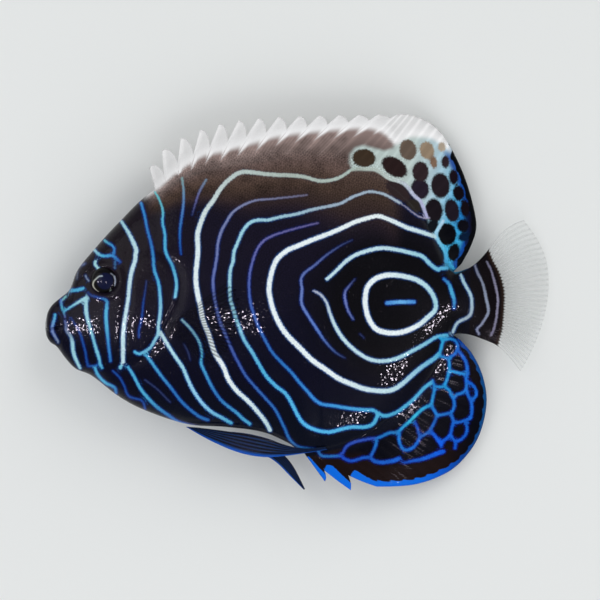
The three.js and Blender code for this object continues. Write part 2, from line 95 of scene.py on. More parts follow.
def curve(points, samples=200):
    """Points along a smooth curve through the given ones."""
    p = np.asarray(points, float)
    t = np.linspace(0, len(p) - 1, samples + 1)
    i = np.minimum(t.astype(int), len(p) - 2)
    w = (t - i)[:, None]
    a, b, c, d = (p[np.clip(i + k, 0, len(p) - 1)] for k in (-1, 0, 1, 2))
    return b + 0.5 * w * (c - a + w * (2 * a - 5 * b + 4 * c - d + w * (3 * (b - c) + d - a)))


def lookup(points):
    """A smooth curve through the points, as a function of x."""
    line = curve(points)
    return lambda x: np.interp(x, line[:, 0], line[:, 1])


def fade(x, start, end):
    """0 at start, 1 at end, smooth between."""
    t = np.clip((x - start) / (end - start), 0, 1)
    return t * t * (3 - 2 * t)


def bell(distance, reach):
    """1 at no distance, and next to nothing at twice the reach."""
    return np.exp(-((distance / reach) ** 2))


# %% How far a line is

def nearest(line, px, py):
    """Offset to the nearest point of a line, and how far along the line that is, from 0 to 1."""
    best = np.full(px.shape, 1e9)
    offset = np.zeros(px.shape + (2,))
    along = np.zeros(px.shape)
    run = np.r_[0, np.cumsum(np.hypot(*np.diff(line, axis=0).T))]
    for k in range(len(line) - 1):
        a, b = line[k], line[k + 1]
        length = max(run[k + 1] - run[k], 1e-9)
        t = np.clip(((px - a[0]) * (b[0] - a[0]) + (py - a[1]) * (b[1] - a[1])) / length**2, 0, 1)
        dx, dy = px - a[0] - t * (b[0] - a[0]), py - a[1] - t * (b[1] - a[1])
        closer = dx * dx + dy * dy < best
        best[closer] = (dx * dx + dy * dy)[closer]
        offset[closer] = np.stack([dx, dy], -1)[closer]
        along[closer] = ((run[k] + t * length) / run[-1])[closer]
    return offset, along


def distance_to(line, px, py):
    """Distance to a line, in the units of its points."""
    return np.hypot(*nearest(line, px, py)[0].T)


# %% [markdown]
# ## Shape of the body
# The real fish is deep and thin, about a sixth of its length through the flanks. A body could be
# sculpted or lofted from cross sections. Here two edge curves and a thickness for each place give
# it, as in the CAD, so that the skin lies on the solids. The edges are sharper than the CAD's.

# %% Outline from the side
BACK_EDGE = [
    (45, 326), (47, 314), (52, 305), (60, 298), (70, 289), (77, 271), (90, 254), (118, 223),
    (153, 191), (205, 169), (268, 158.5), (332, 161), (360, 168.5), (385, 181.5), (410, 203),
    (430, 230), (443, 254), (452, 270), (462, 270.5), (478, 262), (500, 236), (515, 224),
    (527, 219), (552, 219),
]
BELLY_EDGE = [
    (45, 326), (46, 334), (50, 342), (57, 347), (66, 359), (76, 369), (92, 376), (118, 396),
    (144, 410), (186, 424), (225, 427), (262, 432), (288, 443), (304, 453), (328, 448), (352, 440),
    (380, 424), (408, 402), (430, 376), (445, 350), (453, 336), (465, 334), (480, 338), (497, 345),
    (512, 358), (523, 372), (552, 372),
]
WIDEST_LINE = [(45, 327), (80, 325), (120, 318), (200, 308), (300, 302), (400, 300), (552, 300)]
back_edge, belly_edge, widest_line = lookup(BACK_EDGE), lookup(BELLY_EDGE), lookup(WIDEST_LINE)


def stretch(edge, from_x, to_x, count):
    """Points at even steps along a stretch of the back or belly edge."""
    x = np.linspace(from_x, to_x, 400)
    y = edge(x)
    run = np.r_[0, np.cumsum(np.hypot(np.diff(x), np.diff(y)))]
    even = np.interp(np.linspace(0, run[-1], count), run, x)
    return np.stack([even, edge(even)], -1)


BACK_LINE = stretch(back_edge, 150, 455, 60)
BELLY_LINE = stretch(belly_edge, 304, 455, 45)
depth = max(belly_edge(x) - back_edge(x) for x in range(50, 450))
print("the body is", round(depth * PX, 1), "mm deep without its fins")

# %% Thickness
BODY_HALF = [
    (45, 0.3), (47, 1.25), (50, 2), (60, 2.9), (72, 3.9), (88, 5.2), (104, 6.3), (125, 7.4),
    (150, 8.1), (180, 8.8), (210, 9.25), (245, 9.35), (280, 9.15), (320, 8.3), (360, 7), (400, 5.5),
    (435, 4.1), (455, 3.3), (475, 2.2), (490, 1.2), (505, 0.5), (520, 0.22), (552, 0.14),
]
BACK_RIM = [
    (45, 0.02), (148, 0.05), (165, 0.6), (200, 1.1), (300, 1.25), (400, 1.1), (450, 0.8),
    (470, 0.5), (505, 0.2), (552, 0.14),
]
BELLY_RIM = [
    (45, 0.02), (288, 0.05), (330, 0.9), (400, 1.1), (450, 0.8), (470, 0.5), (505, 0.2), (552, 0.14),
]
BACK_FULLNESS = [(45, 0.5), (120, 0.52), (200, 0.66), (300, 0.78), (450, 0.8), (552, 0.9)]
BELLY_FULLNESS = [(45, 0.5), (200, 0.56), (300, 0.68), (350, 0.78), (552, 0.9)]
FLANK_POWER = 2.2
body_half, back_rim, belly_rim = lookup(BODY_HALF), lookup(BACK_RIM), lookup(BELLY_RIM)
back_fullness, belly_fullness = lookup(BACK_FULLNESS), lookup(BELLY_FULLNESS)
print("the flanks are", 2 * max(half for _, half in BODY_HALF), "mm apart at the thickest")

# %% [markdown]
# ## Relief of the head
# Lips, the line of the mouth, nostrils, the orbit, the gill cover and the thorn at the foot of the
# cheek stand out of the real head or are sunk into it by half a millimetre or so. They could be
# pieces of their own, but then each would show a seam. Here they only raise or lower the skin.

# %% Bones, lips and orbit
GILL_EDGE = [
    (148, 176), (151, 205), (153, 232), (158, 252), (170, 261), (179, 277), (179, 299),
    (170, 319), (160, 338), (147, 352), (129, 364), (112, 376), (98, 398),
]
EYE = {"at": (107.4, 281.3), "radius": 3.2}
GILL_LINE = curve(GILL_EDGE, 60)
PREOPERCLE = curve([(132, 252), (130, 275), (130, 300), (127, 330), (124, 352), (112, 366)], 20)


def relief(px, py, on_head):
    """Millimetres that the skin stands out over the bones of the head and the lips."""
    # the gill cover is a raised lid with a groove along its edge, and the flank dips behind it
    gill = distance_to(GILL_LINE, px, py)
    shown = fade(py, 250, 266) * fade(py, 384, 362)
    lid = 0.42 * bell(gill, 30) * (1 - 0.55 * bell(gill, 2.2))
    out = shown * np.where(on_head, lid, -0.4 * bell(gill, 8))
    # a faint groove in front of the cheek bar
    out -= 0.16 * bell(distance_to(PREOPERCLE, px, py) - 2.5, 2.4) * (px < 140)
    # the orbit: a low rim round a hollow that the eye fills
    eye = np.hypot(px - EYE["at"][0], py - EYE["at"][1]) * PX
    out += 0.2 * bell(eye - 3.6, 0.6) - 1.6 * fade(eye, 3.1, 1.8)
    # thick lips, the line of the mouth between them, and the crease behind
    lips = 0.5 * bell(px - 52, 6.5) * fade(abs(py - 328), 17, 8)
    out += lips - 0.95 * bell(py - np.interp(px, [45, 62], [329.8, 327]), 1.3) * fade(px, 62, 56)
    lip_crease = px - np.interp(py, [290, 327, 350], [60.5, 62.5, 59])
    out -= 0.3 * bell(lip_crease, 2.2) * fade(abs(py - 325), 34, 22)
    # two nostrils in front of the eye
    for nostril in ((83.5, 277.5), (88, 272.5)):
        hole = np.hypot(px - nostril[0], py - nostril[1]) * PX
        out += 0.14 * bell(hole - 0.5, 0.22) - 0.5 * bell(hole, 0.3)
    # the thorn at the foot of the cheek
    thorn, along = nearest(np.array([(124, 352), (119.5, 370)]), px, py)
    out += 0.62 * bell(np.hypot(*thorn.T), 2.4) * np.clip(1.15 - along, 0, 1)
    return out


# %% Half the thickness

def half_at(px, py, on_head):
    """Half the thickness of the body."""
    middle = widest_line(px)
    up = py < middle
    edge = np.where(up, back_edge(px), belly_edge(px))
    rim = np.where(up, back_rim(px), belly_rim(px))
    fullness = np.where(up, back_fullness(px), belly_fullness(px))
    across = np.clip((py - middle) / (edge - middle), 0, 1)
    flesh = np.maximum(1 - across**FLANK_POWER, 0) ** fullness
    half = rim + np.maximum(body_half(px) - rim, 0) * flesh
    head = px < 215
    half[head] += relief(px[head], py[head], on_head[head]) * np.minimum(1, flesh[head] * 2.5)
    return np.maximum(half, 0.02)


# %% [markdown]
# ## How the fish lies
# The real fish lies on its right flank. Its tail and its soft fins sag towards the floor, and the
# breast fin under it presses a shallow bed into the skin. A cloth simulation could find the sag,
# but it would not be the same each time, so two curves give it.

# %% Sag of the tail and the fins
LEVEL = 8.9
TAIL_DROOP = {"from": 380, "to": 552, "drop": 8.3}
FIN_SAG = {"spiny": 1.4, "soft": 3.4, "from": 200, "to": 420, "reach": 70}


def out_on_fin(px, py):
    """How far a point is out on the back fin or the anal fin."""
    on_tail = (px > 453) & (py > 268) & (py < 338)
    on_body = (px <= 453) & (py >= back_edge(px) - 0.01) & (py <= belly_edge(px) + 0.01)
    out = np.zeros(px.shape)
    for line, here in ((BACK_LINE, (py < 300) & (px > 140)), (BELLY_LINE, (py >= 300) & (px > 296))):
        here = here & ~on_tail & ~on_body
        out[here] = distance_to(line, px[here], py[here])
    return out


def tail_plane(px):
    """Height of the middle of the body, which droops towards the tail."""
    along = np.clip((px - TAIL_DROOP["from"]) / (TAIL_DROOP["to"] - TAIL_DROOP["from"]), 0, 1)
    return LEVEL - TAIL_DROOP["drop"] * along**2


def middle_plane(px, py):
    """Height of the middle of body and fins. The fins sag more, the farther out they are."""
    soft = np.clip((px - FIN_SAG["from"]) / (FIN_SAG["to"] - FIN_SAG["from"]), 0, 1)
    sag = FIN_SAG["spiny"] + (FIN_SAG["soft"] - FIN_SAG["spiny"]) * soft
    return tail_plane(px) - sag * (out_on_fin(px, py) / FIN_SAG["reach"]) ** 1.5


tail_end = TAIL_DROOP["to"]
print("the tail fin ends", round(float(tail_plane(tail_end)), 2), "mm above the floor")

# %% Bed of the right breast fin
FIN_BED = {"at": (212, 318), "wide": 46, "tall": 52, "rim": 0.22, "height": 0.9, "behind_gill": 7}


def fin_bed(px, py):
    """Height of the underside over the right breast fin, which the fish lies on."""
    r = np.hypot((px - FIN_BED["at"][0]) / FIN_BED["wide"], (py - FIN_BED["at"][1]) / FIN_BED["tall"])
    inside = np.clip((1 + FIN_BED["rim"] - r) / FIN_BED["rim"], 0, 1)
    behind = px - np.interp(py, GILL_LINE[:, 1], GILL_LINE[:, 0])
    return FIN_BED["height"] * inside * np.clip(behind / FIN_BED["behind_gill"], 0, 1)


# %% [markdown]
# ## Columns and rows of the skin
# Columns run from the snout to the end of the tail fin. They meet the back where the spines and
# rays of the back fin start, and the belly where those of the anal fin do, so that body and fins
# join vertex to vertex. One column runs down the edge of the gill cover. A remesh would find its
# own vertices, but it would blur the spines and the mouth.

# %% Where the columns meet the back and the belly
FIRST_SPINE, PER_SPINE, PER_RAY = 52, 8, 4
SOFT = FIRST_SPINE + 13 * PER_SPINE
FIN_END = SOFT + 18 * PER_RAY
ANAL_START = SOFT - 2 * PER_SPINE
STALK = FIN_END + 8
TAIL_COLUMNS = 56
GILL_COLUMN = 50
ROWS = 128
SPINE_BASE_X = lookup([(0, 155), (4, 205), (8, 268), (13, 346.5)])
REAR_BASE = 454
ANAL_BASE_X = (304, 314, 325)
TAIL_START = 468
soft_back = stretch(back_edge, SPINE_BASE_X(13), REAR_BASE, FIN_END - SOFT + 1)
soft_belly = stretch(belly_edge, ANAL_BASE_X[2], REAR_BASE, FIN_END - SOFT + 1)
spine_columns = FIRST_SPINE + PER_SPINE * np.arange(14)
top_i = np.r_[0, spine_columns[:-1], np.arange(SOFT, FIN_END + 1), STALK]
top_x = np.r_[SNOUT, SPINE_BASE_X(np.arange(13)), soft_back[:, 0], TAIL_START]
low_i = np.r_[0, GILL_COLUMN, ANAL_START, ANAL_START + PER_SPINE, np.arange(SOFT, FIN_END + 1), STALK]
low_x = np.r_[SNOUT, 106, 304, 314, soft_belly[:, 0], TAIL_START]
print(STALK + TAIL_COLUMNS, "columns and", ROWS, "rows on each side")

# %% Plan of the body

def row_share(j):
    """Where a row lies between back and belly, from -1 to 1, closer together at the edges."""
    t = 2 * j / ROWS - 1
    return 0.2 * t + 0.8 * np.sin(t * math.pi / 2)


def gill_point(s):
    """A point on the edge of the gill cover, at a share across the body."""
    part = GILL_LINE[(GILL_LINE[:, 1] > 193) & (GILL_LINE[:, 1] < 387)]
    run = np.r_[0, np.cumsum(np.hypot(*np.diff(part, axis=0).T))]
    at = (s + 1) / 2 * run[-1]
    return np.stack([np.interp(at, run, part[:, 0]), np.interp(at, run, part[:, 1])], -1)


def body_plan(i, s):
    """Plan position of a column at a share across the body."""

    def straight(i, s):
        tx, bx = np.interp(i, top_i, top_x), np.interp(i, low_i, low_x)
        top = np.stack([tx, back_edge(tx)], -1)
        low = np.stack([bx, belly_edge(bx)], -1)
        mx = (tx + bx) / 2
        mid = np.stack([mx, widest_line(mx)], -1)
        s = s[:, None]
        return mid + s * (low - top) / 2 + s * s * ((top + low) / 2 - mid)

    shift = gill_point(s) - straight(np.full(i.shape, float(GILL_COLUMN)), s)
    ahead = np.clip(i / GILL_COLUMN, 0, 1)
    behind = np.clip(1 - (i - GILL_COLUMN) / 56, 0, 1) ** 2
    share = np.where(i <= GILL_COLUMN, ahead, behind) * (1 - s**8)
    return straight(i, s) + shift * share[:, None]


# %% Fan of the tail fin
TAIL = {
    "hub": (415, 301),
    "upper": lookup([(60, 32), (74, 31.8), (107, 37.4), (126, 37.6), (139, 36.2)]),
    "lower": lookup([(60, 31.5), (75, 29.6), (93, 28.2), (112, 30.5), (129, 33.4)]),
    "reach": lookup([(-34, 129), (-22, 130), (-10, 133), (5, 138), (19, 141.5), (35, 138.5)]),
}


def tail_plan(k, j):
    """Plan position of a tail column, whose rows fan out along the rays."""
    t, s = 2 * j / ROWS - 1, row_share(j)
    blend = fade(k, 0, 14)
    across = -(s + (t - s) * blend)
    hub_x, hub_y = TAIL["hub"]

    def turn(r):
        return across * np.where(across > 0, TAIL["upper"](r), TAIL["lower"](r))

    start = (TAIL_START - hub_x) / np.cos(np.radians(turn(np.full(k.shape, 55.0))))
    end = TAIL["reach"](turn(np.full(k.shape, 135.0)))
    r = start + (end - start) * k / TAIL_COLUMNS
    angle = np.radians(turn(r))
    px, py = hub_x + r * np.cos(angle), hub_y - r * np.sin(angle)
    edge = np.where(s < 0, back_edge(px), belly_edge(px))
    flat = widest_line(px) + (edge - widest_line(px)) * abs(s)
    return np.stack([px, flat + (py - flat) * blend], -1)


# %% Sheet of the body
WEB = 0.13
RAY_RISE = 0.15
TAIL_RAYS = 32


def comb(distance, width=1.0):
    """Height of a ridge, by the distance from its crest in columns."""
    return np.clip(1 - (distance / (1.6 * width)) ** 2, 0, 1)


def sheet_points(px, py, mid, half, rim, side):
    """Points of a sheet, above or below the middle. The rim lies on the middle itself."""
    z = mid + side * half
    if side < 0:
        z = np.maximum(z, np.maximum(fin_bed(px, py), 0))
    z = np.where(rim, np.maximum(mid, 0.02), z)
    return to_frame(px, py, z)


def body_sheet(i, j, side):
    """Points of the body and the tail fin, for column i and row j."""
    s = row_share(j)
    tail = i > STALK
    on_tail, on_body = tail_plan(np.maximum(i - STALK, 0), j), body_plan(np.minimum(i, STALK), s)
    plan = np.where(tail[:, None], on_tail, on_body)
    px, py = plan.T
    half = half_at(px, py, i <= GILL_COLUMN)
    out = np.clip((i - STALK) / TAIL_COLUMNS, 0, 1)
    ray = j / (ROWS / TAIL_RAYS)
    crest = comb(abs(ray - np.rint(ray)) * ROWS / TAIL_RAYS, 0.9)
    ridge = 0.8 * RAY_RISE * crest * fade(px, 474, 500) * (1 - 0.5 * out)
    half = np.where(tail, np.maximum(half, WEB) + ridge, half)
    mid = np.where(tail, tail_plane(px), middle_plane(px, py))
    on_back_fin = (j == 0) & (i > FIRST_SPINE)
    on_anal_fin = (j == ROWS) & (i > ANAL_START)
    has_fin = (on_back_fin | on_anal_fin) & (i < FIN_END)
    rim = ((j == 0) | (j == ROWS) | (i == 0) | (i == STALK + TAIL_COLUMNS)) & ~has_fin
    fin = np.stack([ray, out * 20, fade(px, 470, 500)], -1)
    return sheet_points(px, py, mid, half, rim, side), fin


# %% [markdown]
# ## Back fin and anal fin
# On the real fish stiff spines hold the front of each fin, with a notch in the web between one and
# the next, and soft rays hold the round part behind. Separate spines with a web between them would
# need many joins, so each spine and ray is a ridge in a column of the web itself.

# %% Edge of the back fin
SPINE_TIP_X = lookup([(0, 149), (1, 162), (3, 200), (6, 258), (9, 319), (13, 398)])
SPINE_TIP_Y = lookup([(0, 168), (1, 150), (2, 138), (4, 123.5), (7, 116.5), (13, 113)])
DORSAL_NOTCH = (0.36, 0.92, [(0, 0), (0.3, 0.14), (0.6, 0.52), (0.88, 1), (1, 0)])
DORSAL_MARGIN = [
    (398, 113), (408, 113), (419, 115.5), (434, 123), (446, 135), (456, 153), (466, 175),
    (474, 201), (478, 226), (472, 246), (462, 264),
]


def spiny_margin(base, tips, notch, count):
    """Edge points of the web, with a notch between each spine and the next.

    notch gives how much web is left in the first and the last notch, and the depth from 0 to 1 at
    places from one spine to the next.
    """
    k = np.arange(len(base)) / PER_SPINE
    at = np.minimum(k.astype(int), count - 2)
    t = k - at
    tip = tips(k)
    low = notch[0] + (notch[1] - notch[0]) * at / max(count - 2, 1)
    depth = np.interp(t, *zip(*notch[2])) * (1 - low)
    return base + (tip - base) * (1 - depth)[:, None]


def spine_tip(k):
    """Where spine k of the back fin ends."""
    return np.stack([SPINE_TIP_X(k), SPINE_TIP_Y(k)], -1)


dorsal_i = np.arange(FIRST_SPINE, FIN_END + 1)
dorsal_x = np.interp(dorsal_i, top_i, top_x)
dorsal_base = np.stack([dorsal_x, back_edge(dorsal_x)], -1)
spiny = SOFT - FIRST_SPINE
dorsal_edge = np.r_[
    spiny_margin(dorsal_base[: spiny + 1], spine_tip, DORSAL_NOTCH, 14),
    curve(DORSAL_MARGIN, FIN_END - SOFT)[1:],
]
print(len(dorsal_base), "columns in the back fin")

# %% Edge of the anal fin
ANAL_TIPS = [(325, 482), (351, 491), (377, 487.5)]
ANAL_NOTCH = (0.53, 0.65, [(0, 0), (0.25, 0.44), (0.5, 1), (0.75, 0.44), (1, 0)])
ANAL_MARGIN = [
    (377, 487.5), (396, 487.5), (415, 486), (434, 481), (453, 472), (468, 458.5), (480, 441),
    (487, 420), (489, 398), (484, 375), (474, 355), (461, 340),
]


def anal_tip(k):
    """Where spine k of the anal fin ends."""
    return np.stack([np.interp(k, range(3), [tip[n] for tip in ANAL_TIPS]) for n in (0, 1)], -1)


anal_i = np.arange(ANAL_START, FIN_END + 1)
anal_x = np.interp(anal_i, low_i, low_x)
anal_base = np.stack([anal_x, belly_edge(anal_x)], -1)
anal_edge = np.r_[
    spiny_margin(anal_base[: 2 * PER_SPINE + 1], anal_tip, ANAL_NOTCH, 3),
    curve(ANAL_MARGIN, FIN_END - SOFT)[1:],
]
print(len(anal_base), "columns in the anal fin")

# %% Sheet of a fin
DORSAL_ROWS, ANAL_ROWS = 36, 46
SPINE_RISE = 0.34
ROOT_REACH = 15


def fin_sheet(start, base, margin, rows, rim_of):
    """A fin on the back or belly: columns along the spines and rays, rows from body to edge."""

    def place(c, j, side):
        v = j / rows
        root, edge = base[c], margin[c]
        plan = root + (edge - root) * v[:, None]
        px, py = plan.T
        length = np.hypot(*(edge - root).T)
        soft = SOFT - start
        spine = np.where(c <= soft, c / PER_SPINE, soft / PER_SPINE + (c - soft) / PER_RAY)
        per = np.where(c <= soft, PER_SPINE, PER_RAY)
        off = abs(spine - np.rint(spine)) * per
        rise = np.where(c <= soft + 1, SPINE_RISE * (1 - 0.75 * v), RAY_RISE * (1 - 0.4 * v))
        ridge = rise * comb(off, np.where(c <= soft + 1, 1.0, 0.8)) * np.minimum(1, 5 * v)
        flesh = np.maximum(rim_of(root[:, 0]) - WEB, 0) * np.exp(-v * length / ROOT_REACH)
        rim = (j == rows) | (c == 0) | (c == len(base) - 1)
        fin = np.stack([spine, v * length * PX, fade(v * length, 4, 16)], -1)
        return sheet_points(px, py, middle_plane(px, py), WEB + flesh + ridge, rim, side), fin

    return place


dorsal_sheet = fin_sheet(FIRST_SPINE, dorsal_base, dorsal_edge, DORSAL_ROWS, back_rim)
anal_sheet = fin_sheet(ANAL_START, anal_base, anal_edge, ANAL_ROWS, belly_rim)

# %% [markdown]
# ## One skin
# The real fish has one skin over body and fins. Each sheet here is a grid whose vertices are moved
# into place, on the upper and the under side. Their edges are then merged, so that body and fins
# are one closed skin, and the skin is eased where the fins leave the body, as scaled skin runs out
# over the roots of the rays.

# %% Sheets and their merged edges
skin_bm = bmesh.new()
key = skin_bm.verts.layers.int.new("key")
fin_of = []


def add_sheet(columns, rows, place, side):
    """Adds one sheet of the skin. place(i, j, side) gives its points for column i and row j."""
    made = bmesh.ops.create_grid(skin_bm, x_segments=columns, y_segments=rows, size=1)["verts"]
    at = np.array([v.co.xy for v in made])
    i, j = np.rint((at[:, 0] + 1) / 2 * columns), np.rint((at[:, 1] + 1) / 2 * rows)
    points, fin = place(i.astype(int), j.astype(int), side)
    first = sum(len(f) for f in fin_of)
    for n, (v, p) in enumerate(zip(made, points)):
        v.co = p
        v[key] = first + n
    fin_of.append(fin)


for side in (1, -1):
    add_sheet(STALK + TAIL_COLUMNS, ROWS, body_sheet, side)
    add_sheet(len(dorsal_base) - 1, DORSAL_ROWS, dorsal_sheet, side)
    add_sheet(len(anal_base) - 1, ANAL_ROWS, anal_sheet, side)
bmesh.ops.remove_doubles(skin_bm, verts=skin_bm.verts, dist=1.5e-6)
bmesh.ops.recalc_face_normals(skin_bm, faces=skin_bm.faces)
open_edges = sum(not e.is_manifold for e in skin_bm.edges)
print(len(skin_bm.verts), "vertices,", len(skin_bm.faces), "faces,", open_edges, "open edges")

# %% Skin over the roots of the rays
ROOT_ROUNDS = 14
points = np.array([v.co for v in skin_bm.verts])
px, py, pz = to_plan(points)
near_back = distance_to(BACK_LINE, px, py) < 9
near_belly = (distance_to(BELLY_LINE, px, py) < 9) & (px > 298)
rooted = [v for v, a in zip(skin_bm.verts, near_back | near_belly) if a and v.co.z > 0.0005]
for _ in range(ROOT_ROUNDS):
    bmesh.ops.smooth_vert(skin_bm, verts=rooted, factor=0.5, use_axis_z=True)
fins = np.concatenate(fin_of)
print(len(rooted), "vertices eased over the roots of the fins")

# %% Pieces of the fish

def new_object(name, bm, nodes):
    """Makes a piece of the fish from a bmesh, on the CAD's root body."""
    mesh = bpy.data.meshes.new(name)
    bm.to_mesh(mesh)
    bm.free()
    mesh.shade_smooth()
    made = bpy.data.objects.new(name, mesh)
    bpy.context.collection.objects.link(made)
    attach(made, "root")
    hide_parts(*nodes)
    print(name, len(mesh.polygons), "faces")
    return made


FLESH = ["head", "upper_lip", "lower_lip", "gill_cover_left", "gill_cover_right", "trunk", "tail_stalk"]
UNPAIRED_FINS = ["spiny_dorsal_fin", "soft_dorsal_fin", "anal_fin", "tail_fin"]
skin = new_object("skin", skin_bm, FLESH + UNPAIRED_FINS)

# %% [markdown]
# ## Markings
# The juvenile's rings: white, blue and violet lines on blue-black, closed round a point in front
# of the tail, bars on the head, and a blue net on the anal fin. They could be painted on an image,
# but then its pixels would set how sharp they are. Here each line is a smooth curve in plan as the
# camera sees it, with half widths in plan squares and colours along it. Every vertex keeps its
# offset to the nearest line, so the shader can draw an edge sharper than the mesh.

# %% Colours of the lines

def srgb(hex_colour):
    """A hex colour as linear light."""
    c = np.array([int(hex_colour[n : n + 2], 16) for n in (0, 2, 4)]) / 255
    return np.where(c <= 0.04045, c / 12.92, ((c + 0.055) / 1.055) ** 2.4)


def colours(names):
    """Hex colours as rows of linear light."""
    return np.array([srgb(n) for n in names])


WHITE, ICE, PALE, SKY, CYAN, AZURE = "ecf6f8", "c4e2ea", "a0d4e2", "78c4de", "50b0da", "3a8ed2"
BLUE, DEEP, NAVY, DIM = "2a70ba", "174a9c", "142f6c", "2a3560"
VIOLET, MIST, SILVER, IVORY = "55659f", "7a8aa6", "a6b4bf", "c4c2b4"

